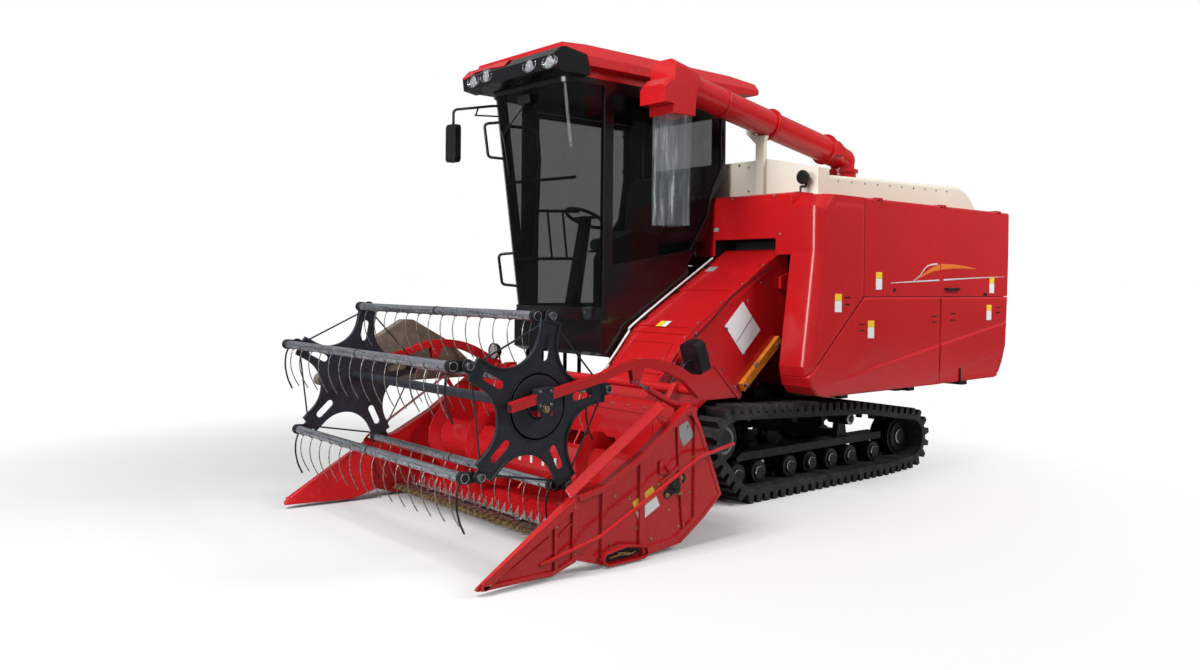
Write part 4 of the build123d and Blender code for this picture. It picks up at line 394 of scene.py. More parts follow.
def track_rubber(name):
    """Black tread rubber: grain, scuffed lug faces and patches of dry soil."""
    g = Graph(name)
    wear = g.spread(g.noise(9.0, 7.0, rough=0.7), 0.42, 0.75, 0.0, 1.0)
    soil = g.spread(g.noise(42.0, 8.0, rough=0.72), 0.52, 0.74, 0.0, 1.0)
    base = g.mix(g.math("MULTIPLY", soil, 0.28), g.mix(wear, (0.012, 0.012, 0.013), (0.045, 0.044, 0.043)),
                 (0.20, 0.17, 0.14))
    relief = g.bump(g.noise(160.0, 5.0), 0.25, 0.002, g.rounded(0.006))
    return g.finish(Base_Color=base, Roughness=g.spread(wear, 0.0, 1.0, 0.55, 0.82), Normal=relief)


def tinted_glass(name, colour, clear):
    """Dark window glass: a faint film of dust on it, and what stands behind shows by its alpha."""
    g = Graph(name)
    film = g.spread(g.noise(5.0, 5.0), 0.45, 0.8, 0.0, 1.0)
    base = g.mix(g.math("MULTIPLY", film, 0.15), colour, (0.03, 0.03, 0.03))
    return g.finish(Base_Color=base, Roughness=g.spread(film, 0.0, 1.0, 0.02, 0.08), Alpha=1.0 - clear,
                    Specular_IOR_Level=0.25)


def clear_film(name):
    """Thin clear sleeve: long creases catch the light and turn it milky in streaks."""
    g = Graph(name)
    crease = g.noise(1.0, 6.0, stretch=(26.0, 26.0, 2.2), rough=0.6)
    streak = g.spread(crease, 0.54, 0.72, 0.0, 1.0)
    base = g.mix(streak, (0.30, 0.36, 0.38), (0.80, 0.84, 0.86))
    relief = g.bump(crease, 0.8, 0.012)
    return g.finish(Base_Color=base, Roughness=0.12, Alpha=g.spread(streak, 0.0, 1.0, 0.10, 0.42),
                    Normal=relief, Specular_IOR_Level=0.6)


def woven(name, colour):
    """Seat cloth: two crossed ribs of yarn."""
    g = Graph(name)
    first = g.add("ShaderNodeTexWave", Vector=g.place, Scale=180.0, Distortion=1.0)
    second = g.add("ShaderNodeTexWave", Vector=g.place, Scale=180.0, Distortion=1.0)
    second.bands_direction = "Z"
    cross = g.math("MULTIPLY", first.outputs["Fac"], second.outputs["Fac"])
    base = g.mix(cross, shade(colour, 0.7), shade(colour, 1.4))
    return g.finish(Base_Color=base, Roughness=0.85, Normal=g.bump(cross, 0.4, 0.0008), Sheen_Weight=0.3)


def lamp_lens(name):
    """Bright faceted lens of a work lamp."""
    g = Graph(name)
    facet = g.add("ShaderNodeTexVoronoi", Vector=g.place, Scale=70.0).outputs["Distance"]
    base = g.mix(g.spread(facet, 0.0, 0.6, 0.0, 1.0), (0.95, 0.97, 1.0), (0.35, 0.37, 0.40))
    return g.finish(Base_Color=base, Roughness=0.08, Metallic=0.5, Normal=g.bump(facet, 0.5, 0.003))


def brushed_zinc(name):
    """Zinc coat on drawn pipe: long streaks along the bar over spangle, painted as bright highlight bands
    and dark reflection bands.
    """
    return bare_metal(name, (0.70, 0.74, 0.82), 0.30, (4.0, 110.0, 110.0))


def make_finishes(red, cream, dust):
    """Every material of the machine, by name."""
    gloss_paint("red_paint", red, dust=dust)
    gloss_paint("cream_paint", cream, rough=0.38, coat=0.15, dust=dust)
    for name, colour, rough, coat, share_of_dust in (
            ("black_paint", (0.005, 0.005, 0.006), 0.22, 0.3, 0.4),
            ("white_plate", (0.72, 0.73, 0.74), 0.4, 0.1, 0.5),
            ("yellow_plate", (0.78, 0.55, 0.03), 0.4, 0.1, 0.5),
            ("grey_plate", (0.30, 0.31, 0.32), 0.35, 0.1, 0.5),
            ("silver_stripe", (0.62, 0.63, 0.65), 0.25, 0.5, 0.5),
            ("stripe_orange", (0.74, 0.17, 0.02), 0.3, 0.5, 0.5),
            ("red_lens", (0.42, 0.01, 0.01), 0.12, 0.8, 0.0),
            ("amber_lens", (0.80, 0.26, 0.01), 0.12, 0.8, 0.0)):
        gloss_paint(name, colour, rough=rough, coat=coat, dust=dust * share_of_dust)
    cast_paint("belt_guard", (0.16, 0.13, 0.10), 0.5)
    cast_paint("amber_paint", (0.72, 0.22, 0.02), 0.42)
    cast_paint("slate_paint", (0.017, 0.020, 0.028), 0.42, edge=0.010)
    cast_paint("frame_black", (0.007, 0.007, 0.008), 0.42)
    for name, colour, rough in (
            ("zinc", (0.42, 0.43, 0.44), 0.34),
            ("worn_steel", (0.42, 0.41, 0.40), 0.34),
            ("tine_wire", (0.50, 0.48, 0.45), 0.36),
            ("guard_brass", (0.86, 0.66, 0.34), 0.40),
            ("bright_strip", (0.90, 0.91, 0.93), 0.34),
            ("brass", (0.72, 0.50, 0.20), 0.3),
            ("silver_trim", (0.72, 0.73, 0.75), 0.2)):
        bare_metal(name, colour, rough)
    brushed_zinc("wrapped_zinc")
    track_rubber("track_rubber")
    moulded("black_plastic", (0.006, 0.006, 0.0065), 0.34)
    # Black of the seams, and also painted shade in openings: the throat, the hatch's mouth, the arms' ends,
    # the slots and the tank's hole
    moulded("dark_seal", (0.008, 0.008, 0.008), 0.6)
    tinted_glass("cab_tint", (0.003, 0.004, 0.0042), 0.54)
    clear_film("sleeve_film")
    woven("seat_cloth", (0.035, 0.036, 0.040))
    lamp_lens("lamp_lens")


WORN_BY = {
    "red_paint": ("cab_roof", "engine_door", "feeder_house", "front_hood", "front_side_cover",
                  "lower_side_panels", "rear_hood", "reel_arms", "reel_barrels", "right_side_panels",
                  "threshing_body", "unload_base", "unload_elbow", "unload_spout", "unload_tube",
                  "upper_side_door", "lift_barrel", "crop_dividers", "header_frame", "header_auger"),
    "cream_paint": ("grain_tank", "tube_cradle"),
    "frame_black": ("chassis_frame", "cab_steps", "left_track_frame", "right_track_frame", "engine",
                    "header_mirror", "side_mirror", "side_lamp"),
    "belt_guard": ("belt_guard",),
    "black_paint": ("cab_frame", "cab_door", "grab_handles", "roof_visor", "cab_base"),
    "black_plastic": ("cab_floor", "control_console", "left_track_wheels", "right_track_wheels"),
    "amber_paint": ("lock_bar",),
    "slate_paint": ("reel_core",),
    "zinc": ("reel_bat_1", "reel_bat_2", "reel_bat_3", "reel_bat_4", "reel_bat_5", "lift_rod", "reel_rods",
             "knife"),
    "worn_steel": ("cutterbar",),
    "track_rubber": ("left_track", "right_track"),
    "cab_tint": ("cab_glass", "door_glass"),
    "sleeve_film": ("spout_sleeve",),
    "seat_cloth": ("operator_seat",),
    "lamp_lens": ("work_lamps",),
}


def dress_nodes():
    """Give every node of the frame the finish it wears."""
    for finish, nodes in WORN_BY.items():
        for name in nodes:
            data = frame["nodes"][name].data
            data.materials.clear()
            data.materials.append(bpy.data.materials[finish])


# ------------------------------------------------------------------ shapes of this machine
LEFTWARD, RIGHTWARD = (1, 0, 0), (-1, 0, 0)
FORWARD, REARWARD, UPWARD = (0, -1, 0), (0, 1, 0), (0, 0, 1)
HEADER = "feeder_and_header"
TINY_BOLT, SMALL_BOLT, BOLT = (0.006, 0.005), (0.007, 0.006), (0.008, 0.007)    # a head's radius, height
PLATE_THICKNESS = 0.0016


def joint_place(joint):
    """Where a joint's axis stands, as an array."""
    return np.array(next(j["pos_m"] for j in frame["record"]["behaviour"]["joints"] if j["name"] == joint))


def header_middle():
    """Middle of the header between its two sides."""
    return float(low("header_auger")[0] + high("header_auger")[0]) / 2


def mirrored(part, middle):
    """A part and its image across the plane x = middle."""
    points = np.asarray(part[0], float)
    image = points * (-1, 1, 1) + (2 * middle, 0, 0)
    return joined(part, (image, [list(f)[::-1] for f in part[1]]))


def paired(name, parts, finish, body=HEADER, bevel=0.0):
    """Piece of some parts and of their images on the header's other side."""
    return piece(name, mirrored(joined(*parts), header_middle()), finish, body, bevel=bevel)


def plate(outline, thickness, origin, across, up, lift=0.0):
    """Flat outline laid in a plane: each point is the origin plus its two measures along the two
    directions, and the thickness runs along their cross product."""
    outline = np.asarray(outline, float)
    across, up = unit(np.asarray(across, float)), unit(np.asarray(up, float))
    out = np.cross(across, up)
    base = np.asarray(origin, float) + outline[:, :1] * across + outline[:, 1:] * up
    return loft(np.stack([base + out * lift, base + out * (lift + thickness)]))


def rectangle(x0, x1, y0, y1):
    """Corners of a rectangle between two values each way."""
    return [(x0, y0), (x1, y0), (x1, y1), (x0, y1)]


def stadium(first, second, radius_first, radius_second, sides=10):
    """Outline round two circles: half a circle about each, on the far sides from one another."""
    first, second = np.asarray(first, float), np.asarray(second, float)
    lean = np.arctan2(*(second - first)[::-1])
    a = np.linspace(-pi / 2, pi / 2, sides)
    head = second + radius_second * np.stack([np.cos(lean + a), np.sin(lean + a)], -1)
    tail = first + radius_first * np.stack([np.cos(lean + pi + a), np.sin(lean + pi + a)], -1)
    return np.concatenate([head, tail])


def strip(path, width, thickness, normal):
    """Flat bar along a path, its face square to a direction: a rectangle carried along the path."""
    profile = arr((-width / 2, 0), (width / 2, 0), (width / 2, thickness), (-width / 2, thickness))
    return carried(path, profile, normal)


def side_strip(x, path, width, thickness):
    """Flat bar on a side wall at x, along a path of (y, z)."""
    return strip([(x, y, z) for y, z in path], width, thickness, LEFTWARD)


def side_bolts(x, places, size=SMALL_BOLT):
    """Bolt heads on a side wall at x, at places of (y, z)."""
    return bolts([(x, y, z) for y, z in places], LEFTWARD, *size)


def front_bolts(y, places, size=SMALL_BOLT):
    """Bolt heads on a front wall at y, at places of (x, z)."""
    return bolts([(x, y, z) for x, z in places], FORWARD, *size)


def cushion(width, depth, height, rounding=0.35, steps=10):
    """Crowned pad about the origin: rounded oblongs along its depth, each narrowed and flattened
    towards the ends by the fourth root of one less the fourth power of its place."""
    place = np.sin(np.linspace(-pi / 2, pi / 2, steps + 1) * 0.98)
    swell = (1 - place**4) ** 0.25
    base = oblong(width, height, min(width, height) * rounding, 5)
    crown = 1 + 0.10 * np.cos(base[:, :1] / width * pi) * np.sign(base[:, 1:])
    rows = [np.concatenate([base[:, :1] * (0.55 + 0.45 * s), np.full((len(base), 1), p * depth / 2),
                            base[:, 1:] * crown * s], 1) for p, s in zip(place, swell)]
    return loft(np.stack(rows))


def moved(part, place, turn=None):
    """A part turned by a matrix and set at a place."""
    points = np.asarray(part[0], float)
    if turn is not None:
        points = points @ np.asarray(turn, float).T
    return points + np.asarray(place, float), part[1]


def about_x(angle):
    """Matrix of a turn about the X axis, in degrees."""
    c, s = cos(radians(angle)), sin(radians(angle))
    return arr((1, 0, 0), (0, c, -s), (0, s, c))


# ------------------------------------------------------------------ reel
BAT_COUNT = 5
BAT_REACH = 1.099           # half the length of a bat's pipe
BAT_PIPE = 0.027            # its outer radius
BAT_BORE = 0.0228
CRANK = 0.080               # from a bat's pin forward to its pipe
TINE_PITCH = 0.150


def wire_tine():
    """Spring tine under a pipe: half a turn of wire round the pipe, then a drop that bows forward
    and sweeps back to its tip."""
    a = np.linspace(-0.5 * pi, 0.5 * pi, 7)
    coil = np.stack([0.006 - a / pi * 0.010, 0.0295 * np.sin(a), -0.0295 * np.cos(a)], -1)
    drop = smooth_path([(0, -0.002, -0.030), (0, -0.014, -0.062), (0, -0.020, -0.112), (0, -0.012, -0.172),
                        (0, 0.012, -0.232), (0, 0.042, -0.284)], 4)
    return joined(tube(coil, 0.0032, 6, up=LEFTWARD), tube(drop, 0.0036, 6, up=LEFTWARD))


def end_finger():
    """Thick finger at each end of a bat, bowed like the tines."""
    path = smooth_path([(0, 0, -0.02), (0, -0.020, -0.07), (0, -0.024, -0.15), (0, -0.006, -0.235),
                        (0, 0.026, -0.305)], 5)
    return tube(path, 0.0062, 8, up=LEFTWARD)


def bat_ends(middle, centre, pin):
    """Cranks, pins, rings, fingers and plugs at both ends of a bat, and the ring at its middle."""
    y, z = centre[1], centre[2]
    ends = []
    for side in (-1, 1):
        face = middle + side * BAT_REACH
        crank = stadium((y, z), (pin[1], pin[2]), 0.0335, 0.027)
        ends += [slab(crank, face - side * 0.013, face - side * 0.0015),
                 turned([(0, 0.012), (side * 0.024, 0.012)], (face - side * 0.006, pin[1], pin[2]), "x", 16),
                 turned([(-0.011, 0.0312), (-0.011, 0.0345), (0.011, 0.0345), (0.011, 0.0312)],
                        (face - side * 0.030, y, z), "x", 24),
                 moved(end_finger(), (face - side * 0.045, y, z)),
                 turned([(0.0, 0.0224), (side * 0.002, 0.0224)], (face - side * 0.052, y, z), "x", 20)]
    ends.append(turned([(-0.006, BAT_PIPE), (-0.006, 0.0292), (0.006, 0.0292), (0.006, BAT_PIPE)],
                       centre, "x", 28))
    return joined(*ends)


def bat_pieces(tine_count):
    """Pipe, tines, cranks and bosses of each bat."""
    middle = header_middle()
    stations = (np.arange(tine_count) - (tine_count - 1) / 2) * TINE_PITCH
    for k in range(1, BAT_COUNT + 1):
        body, pin = f"bat_{k}", joint_place(f"bat_{k}_pivot")
        centre = np.array((middle, pin[1] - CRANK, pin[2]))
        pipe = turned([(-BAT_REACH + 0.05, BAT_BORE), (-BAT_REACH, BAT_BORE), (-BAT_REACH, BAT_PIPE),
                       (BAT_REACH, BAT_PIPE), (BAT_REACH, BAT_BORE), (BAT_REACH - 0.05, BAT_BORE)],
                      centre, "x", 28)
        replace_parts(piece(f"bat_pipe_{k}", pipe, "wrapped_zinc", body), f"reel_bat_{k}")
        places = centre + np.stack([stations, 0 * stations, 0 * stations], -1)
        piece(f"bat_tines_{k}", repeated(wire_tine(), places), "tine_wire", body, angle=60)
        piece(f"bat_ends_{k}", bat_ends(middle, centre, pin), "frame_black", body, bevel=0.0015)
        rings = [turned([(side * 0.0165, 0.0145), (side * 0.0165, 0.0235), (side * 0.040, 0.0235),
                         (side * 0.040, 0.0165), (side * 0.022, 0.0145)],
                        (middle + side * BAT_REACH, pin[1], pin[2]), "x", 20) for side in (-1, 1)]
        piece(f"bat_bosses_{k}", joined(*rings), "zinc", body)


def shaft_pieces():
    """Clamps that hold the reel's shaft on the arms, with their bolts, dark slabs of painted shade in the
    arms' open ends, and the hubs.
    """
    _, y, z = joint_place("reel_spin")
    arm = high("reel_rods")[0] - 0.023
    cheek = arm + 0.0315
    clamp = slab([(y - 0.053, 0.925), (y - 0.030, 0.884), (y + 0.030, 0.884), (y + 0.053, 0.925),
                  (y + 0.053, 1.047), (y - 0.053, 1.037)], arm - 0.0315, cheek)
    paired("shaft_clamps", [clamp], "slate_paint", "reel_arms", 0.004)
    paired("shaft_bolts", [side_bolts(cheek, [(y, z - 0.004)], (0.017, 0.016))], "brass", "reel_arms", 0.001)
    corners = [(y + along, rise) for along in (-0.038, 0.038) for rise in (1.026, 0.950)]
    paired("clamp_bolts", [side_bolts(cheek, corners)], "zinc", "reel_arms")
    tip = low("reel_arms")[1]
    # painted shade: a dark slab fills each arm's open end, where its hollow lies in shadow
    mouth = slab(rectangle(arm - 0.017, arm + 0.017, 0.929, 0.966), tip - 0.0006, tip + 0.010, "y")
    paired("arm_mouths", [mouth], "dark_seal", "reel_arms")
    hub = [turned([(1.212, 0.186), (1.212, 0.178), (1.2155, 0.178), (1.2155, 0.186)], (0, y, z), "x", 64),
           turned([(1.205, 0.070), (1.224, 0.062), (1.224, 0.030)], (0, y, z), "x", 40),
           slab(rectangle(y - 0.035, y + 0.005, 0.993, 1.030), 1.212, 1.216)]
    paired("spider_hubs", hub, "slate_paint", "reel")


# ------------------------------------------------------------------ cutter bar
KNIFE_PITCH = 0.0762        # between two guards of the knife


def tapered_bar(rows):
    """Bar forward from the knife: a rectangle at each row of (y, half width, foot, head)."""
    return loft([[(-w, y, a), (w, y, a), (w, y, b), (-w, y, b)] for y, w, a, b in rows])


def strip_tooth():
    """Leaning tooth of the strip: a rectangle at each height, by its first and last x and its y."""
    return loft([[(x0, y, z), (x1, y, z), (x1, y + depth, z), (x0, y + depth, z)] for z, x0, x1, y, depth in
                 ((0.004, -0.034, 0.034, 0.038, 0.003), (0.020, -0.020, 0.022, 0.041, 0.003),
                  (0.048, -0.006, 0.012, 0.047, 0.003), (0.074, 0.004, 0.007, 0.052, 0.002))])


def cutter_pieces(guard_count):
    """Guards with their lips, the bar they are bolted on, the knife's clips and the toothed strip."""
    middle = header_middle()
    back, top = high("knife")[1], high("knife")[2]
    first = middle - KNIFE_PITCH * (guard_count - 1) / 2
    places = np.stack([first + np.arange(guard_count) * KNIFE_PITCH, np.full(guard_count, back),
                       np.full(guard_count, top)], -1)
    lower = tapered_bar([(0.018, 0.013, -0.026, -0.0055), (-0.030, 0.012, -0.028, -0.0055),
                         (-0.083, 0.010, -0.026, -0.0055), (-0.084, 0.009, -0.026, 0.006),
                         (-0.100, 0.006, -0.023, 0.004), (-0.129, 0.0018, -0.017, -0.009)])
    upper = tapered_bar([(-0.050, 0.008, 0.0035, 0.008), (-0.086, 0.0085, 0.003, 0.0115),
                         (-0.112, 0.004, -0.006, 0.004)])
    bar = block((low("cutterbar")[0], back - 0.035, top - 0.0155),
                (high("cutterbar")[0], back + 0.030, top - 0.0048))
    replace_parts(piece("guard_bar", bar, "frame_black", HEADER, bevel=0.001), "cutterbar")
    piece("knife_guards", repeated(joined(lower, upper), places), "guard_brass", HEADER)
    clip = tapered_bar([(0.034, 0.020, -0.006, 0.010), (0.016, 0.020, 0.002, 0.010),
                        (-0.018, 0.020, 0.0018, 0.0065)])
    every_third = places[1::3]
    clips = joined(repeated(clip, every_third), bolts(every_third + (0, 0.024, 0.009), UPWARD, *TINY_BOLT))
    piece("knife_clips", clips, "silver_trim", HEADER, bevel=0.001)
    rail = block((first - 0.03, back + 0.030, top + 0.001),
                 (-first + 2 * middle + 0.03, back + 0.074, top + 0.006))
    piece("toothed_strip", joined(rail, repeated(strip_tooth(), places)), "bright_strip", HEADER)


# ------------------------------------------------------------------ header
SIDE_DEPTH = 0.014          # the header's pressed sides lie this far in from its rims


def header_faces():
    """Outer face of the header's rims on its left, and of the pressed side within them."""
    face = high("header_frame")[0]
    return face, face - SIDE_DEPTH


def header_side():
    """Bolts, folds and rims of the header's pressed sides."""
    face, sunk = header_faces()
    seats = ((-1.964, .564), (-2.120, .395), (-2.008, .369), (-1.955, .184), (-1.682, .253), (-1.602, .140),
             (-1.511, .342), (-1.593, .506), (-1.774, .422), (-2.150, .12), (-1.83, .10), (-1.53, .745))
    paired("side_bolts", [side_bolts(sunk, seats)], "brass")
    ribs = [side_strip(x, path, width, thickness) for x, width, thickness, path in (
        (sunk, 0.018, 0.012, ((-1.910, .615), (-1.905, .300), (-1.885, .045))),
        (sunk, 0.018, 0.012, ((-1.625, .770), (-1.600, .420), (-1.560, .075))),
        (sunk, 0.016, 0.012, ((-2.205, .440), (-2.205, .060))),
        (face, 0.034, 0.010, ((-2.395, .420), (-2.205, .452), (-1.905, .604), (-1.525, .862))),
        (face, 0.020, 0.004, ((-1.600, .052), (-1.395, .183), (-1.255, .295))),
        (face, 0.022, 0.004, ((-1.530, .868), (-1.440, .725), (-1.258, .300))))]
    paired("side_ribs", ribs, "red_paint", bevel=0.002)


def divider_rims():
    """Folded rims round each divider's outer face and the two posts behind them, with their bolts."""
    face, _ = header_faces()
    rims = [side_strip(face, path, width, thickness) for width, thickness, path in (
        (0.050, 0.015, ((-3.030, .047), (-2.573, .316), (-2.425, .402))),
        (0.024, 0.015, ((-3.040, .042), (-2.576, .040), (-2.425, .088))),
        (0.022, 0.013, ((-2.560, .050), (-2.560, .310))),
        (0.030, 0.014, ((-2.432, .085), (-2.432, .405))),
        (0.012, 0.009, ((-2.93, .066), (-2.60, .238))),
        (0.014, 0.008, ((-2.54, .235), (-2.45, .290))))]
    paired("divider_rims", rims, "red_paint", bevel=0.002)
    seats = ((-2.560, .29), (-2.560, .08), (-2.432, .38), (-2.432, .12), (-2.99, .055))
    paired("divider_bolts", [side_bolts(face + 0.013, seats, TINY_BOLT)], "brass")


def drive_hatch():
    """Hatch over the knife's drive: its rim, a dark slab of painted shade in its mouth, and the rods that
    show in it.
    """
    face, _ = header_faces()
    rim = ((-2.238, .045), (-2.205, .016), (-1.930, .016), (-1.892, .030), (-1.905, .078), (-2.060, .108),
           (-2.225, .084))
    hollow = ((-2.205, .048), (-2.190, .034), (-1.985, .036), (-1.935, .050), (-1.95, .070), (-2.070, .090),
              (-2.19, .072))
    paired("hatch_rim", [side_strip(face + 0.012, rim + rim[:1], 0.014, 0.026)], "red_paint", bevel=0.002)
    # painted shade: the dark slab stands for the shadow inside the hatch's mouth
    paired("hatch_mouth", [slab(hollow, face - 0.002, face + 0.0105)], "dark_seal")
    rods = [tube([(face + 0.014, -2.185, .052), (face + 0.018, -2.10, .060), (face + 0.018, -2.03, .052),
                  (face + 0.014, -1.98, .060)], 0.006, 8, 4),
            tube([(face + 0.014, -2.12, .070), (face + 0.020, -2.06, .066), (face + 0.014, -2.00, .046)],
                 0.005, 8, 4)]
    paired("hatch_rods", rods, "brass")


def auger_bearing():
    """Round the auger's bearing: its dark housing, its nuts and a tension lever."""
    _, sunk = header_faces()
    hub = [turned([(sunk, .048), (sunk + .010, .046), (sunk + .016, .030), (sunk + .030, .026)],
                  (0, -1.640, .392), "x", 24),
           slab(stadium((-1.70, .352), (-1.58, .432), .030, .030), sunk, sunk + 0.006)]
    paired("bearing_housing", hub, "frame_black", bevel=0.001)
    seats = ((-1.690, .430), (-1.705, .345), (-1.600, .345), (-1.590, .435))
    paired("bearing_nuts", [side_bolts(sunk + .004, seats, (0.011, 0.012))], "brass")
    lever = [slab([(-1.775, .428), (-1.758, .412), (-1.585, .505), (-1.600, .524)], sunk, sunk + .010),
             slab(oblong(.075, .085, .012) + (-1.738, .520), sunk, sunk + .012),
             tube([(sunk + .012, -1.735, .540), (sunk + .020, -1.715, .505), (sunk + .020, -1.690, .475)],
                  .006, 8, 3)]
    paired("tension_lever", lever, "red_paint", bevel=0.002)


def header_plates():
    """Blank plates on the header's left side."""
    _, sunk = header_faces()
    for name, finish, outlines in (
            ("maker_free_plate", "grey_plate",
             [((-1.632, .742), (-1.535, .782), (-1.472, .682), (-1.567, .624))]),
            ("yellow_side_plates", "yellow_plate",
             [((-1.490, .556), (-1.436, .588), (-1.402, .526), (-1.456, .494)),
              ((-1.985, .338), (-1.822, .414), (-1.794, .356), (-1.958, .280))]),
            ("white_side_plates", "white_plate",
             [((-1.452, .484), (-1.400, .514), (-1.384, .486), (-1.436, .456)),
              ((-1.955, .274), (-1.792, .350), (-1.762, .290), (-1.924, .212))])):
        blanks = [slab(outline, sunk, sunk + PLATE_THICKNESS) for outline in outlines]
        piece(name, joined(*blanks), finish, HEADER)


def trough_pieces():
    """Stiffening folds of the trough's back wall, bolts of the beam and guides of the auger's fingers."""
    middle = header_middle()
    folds = [block((x - .014, -1.4855, .60), (x + .014, -1.4795, .77)) for x in
             (middle - 1.05, middle - .62, middle - .22, middle + .86, middle + 1.05)]
    piece("trough_folds", joined(*folds), "red_paint", HEADER, bevel=0.002)
    heads = front_bolts(-1.482, [(x, .81) for x in np.linspace(middle - 1.12, middle + 1.12, 15)], BOLT)
    piece("beam_bolts", heads, "zinc", HEADER)
    guides = [block((x - .012, -1.918, .402), (x + .012, -1.912, .470)) for x in np.linspace(.10, .50, 4)]
    piece("finger_guides", joined(*guides), "white_plate", "auger")


def header_lamp():
    """Round work lamp on a bent stalk over the beam."""
    stand = (-0.900, -1.440, 0.850)
    eye = np.array((-0.888, -1.475, 1.075))
    stalk = tube([stand, (-0.900, -1.440, 0.93), (-0.885, -1.425, 1.00), (-0.888, -1.430, 1.05)],
                 0.008, 10, 5)
    foot = slab(oblong(0.07, 0.05, 0.01) + (stand[0], stand[1]), 0.8495, 0.858, "z")
    bowl = turned([(0.050, 0.020), (0.040, 0.045), (0.018, 0.062), (-0.012, 0.066), (-0.016, 0.062),
                   (-0.008, 0.058)], eye, "y", 36)
    piece("header_lamp", joined(stalk, foot, bowl), "black_plastic", HEADER)
    glow = turned([(-0.008, 0.057), (-0.013, 0.044), (-0.016, 0.024), (-0.017, 0.006)], eye, "y", 32)
    piece("header_lamp_lens", glow, "lamp_lens", HEADER)


# ------------------------------------------------------------------ feeder
LIP = (-1.452, 0.600)       # bends of the feeder's top in (y, z), from its mouth up
CHIN = (-1.020, 1.000)
BROW = (-0.773, 1.285)
CREST = (0.262, 1.908)


def on_slope(first, second, x, along, rise=0.0):
    """Point on a sloping plane that holds two (y, z) points: that far along from the first, raised
    square to it."""
    first, second = np.asarray(first, float), np.asarray(second, float)
    run = (second - first) / np.linalg.norm(second - first)
    return np.array((x, *(first + run * along + rise * np.array((-run[1], run[0])))))


def slope_plate(first, second, outline, thickness, lift=0.0):
    """Flat outline of (x, distance along) laid on the plane through two (y, z) points."""
    run = np.array((0.0, second[0] - first[0], second[1] - first[1]))
    return plate(outline, thickness, (0.0, first[0], first[1]), LEFTWARD, run, lift)


def feeder_sides():
    """The feeder's right and left walls, where its top plates end."""
    return max(low("feeder_house")[0], -0.015), min(high("feeder_house")[0], 0.605)


def chin_rim():
    """Raised rim round the hatch on the chin: its border, up, in and down again."""
    centre = (0.284, 0.150)
    border = oblong(0.455, 0.225, 0.02, 3) + centre
    hollow = (border - centre) * (0.94, 0.88) + centre
    run = unit(np.array((0.0, BROW[0] - CHIN[0], BROW[1] - CHIN[1])))
    out = np.cross((1.0, 0, 0), run)
    base = np.array((0.0, *CHIN))
    rings = [base + o[:, :1] * np.array((1.0, 0, 0)) + o[:, 1:] * run + out * h
             for o, h in ((border, 0.0005), (border, 0.008), (hollow, 0.008), (hollow, 0.0005))]
    return loft(np.stack(rings), caps=False)


def feeder_rims():
    """Folded rims along and across the feeder's top, and the rim of its hatch."""
    right, left = feeder_sides()
    rims = []
    for first, second, start, end in ((CHIN, BROW, 0.02, 0.37), (BROW, CREST, 0.01, 1.02),
                                      (LIP, CHIN, 0.04, 0.58)):
        for x0, x1 in ((left - 0.026, left - 0.001), (right + 0.001, right + 0.026)):
            rims.append(slope_plate(first, second, rectangle(x0, x1, start, end), 0.007))
    for first, second, at in ((BROW, CREST, 0.03), (BROW, CREST, 0.56), (CHIN, BROW, 0.335),
                              (LIP, CHIN, 0.555)):
        rims.append(slope_plate(first, second, rectangle(right + 0.03, left - 0.03, at, at + 0.022), 0.009))
    piece("feeder_rims", joined(*rims, chin_rim()), "red_paint", HEADER, bevel=0.002)


def feeder_flank():
    """Left wall of the feeder: flanged strips, stiffeners, the split cover and its seam."""
    _, left = feeder_sides()
    ribs = [plate(rectangle(0, 0.699, 0, 0.055), 0.006, (left, -0.758, 1.232), (0, 0.7188, -0.6946),
                  (0, 0.6946, 0.7188))]
    ribs += [side_strip(left, path, width, thickness) for width, thickness, path in (
        (0.026, 0.006, ((-0.99, 0.985), (-0.775, 1.232), (-0.40, 1.470))),
        (0.022, 0.006, ((-0.35, 1.475), (0.045, 1.713))),
        (0.024, 0.005, ((-1.40, 0.56), (-1.02, 0.925))),
        (0.020, 0.005, ((-1.33, 0.30), (-0.985, 0.555), (-0.62, 0.785))))]
    ribs += [slab(oblong(width, height, 0.02) + centre, left, left + 0.005)
             for width, height, centre in ((0.15, 0.11, (-1.13, 0.64)), (0.12, 0.09, (-0.55, 1.06)))]
    piece("feeder_side_ribs", joined(*ribs), "red_paint", HEADER, bevel=0.002)
    cover = plate(rectangle(0, 0.30, 0, 0.27), 0.006, (left, -0.419, 1.310), (0, 0.678, -0.735),
                  (0, 0.735, 0.678))
    piece("side_cover", cover, "white_plate", HEADER, bevel=0.002)
    split = side_strip(left + 0.0062, ((-0.105, 1.385), (-0.287, 1.190)), 0.006, 0.001)
    piece("side_cover_seam", split, "dark_seal", HEADER)


def feeder_bolts():
    """Bolt heads on the feeder's left wall and along both rims of its top."""
    right, left = feeder_sides()
    seats = ((-0.725, 1.262), (-0.58, 1.122), (-0.44, 0.987), (-0.30, 0.852), (-0.94, 1.060), (-0.82, 1.19),
             (-1.33, 0.66), (-1.08, 0.90), (-1.20, 0.44), (-0.86, 0.67), (-0.40, 1.29), (-0.20, 1.10),
             (-0.17, 1.50), (-0.02, 1.64))
    heads = side_bolts(left + 0.006, seats, BOLT)
    tops = [on_slope(first, second, x, along, 0.007)
            for first, second, row in ((BROW, CREST, (0.10, 0.38, 0.66, 0.94)), (CHIN, BROW, (0.07, 0.31)))
            for along in row for x in (left - 0.013, right + 0.013)]
    square_to_top = (0, -0.5157, 0.8568)
    piece("feeder_bolts", joined(heads, bolts(tops, square_to_top, *SMALL_BOLT)), "zinc", HEADER)


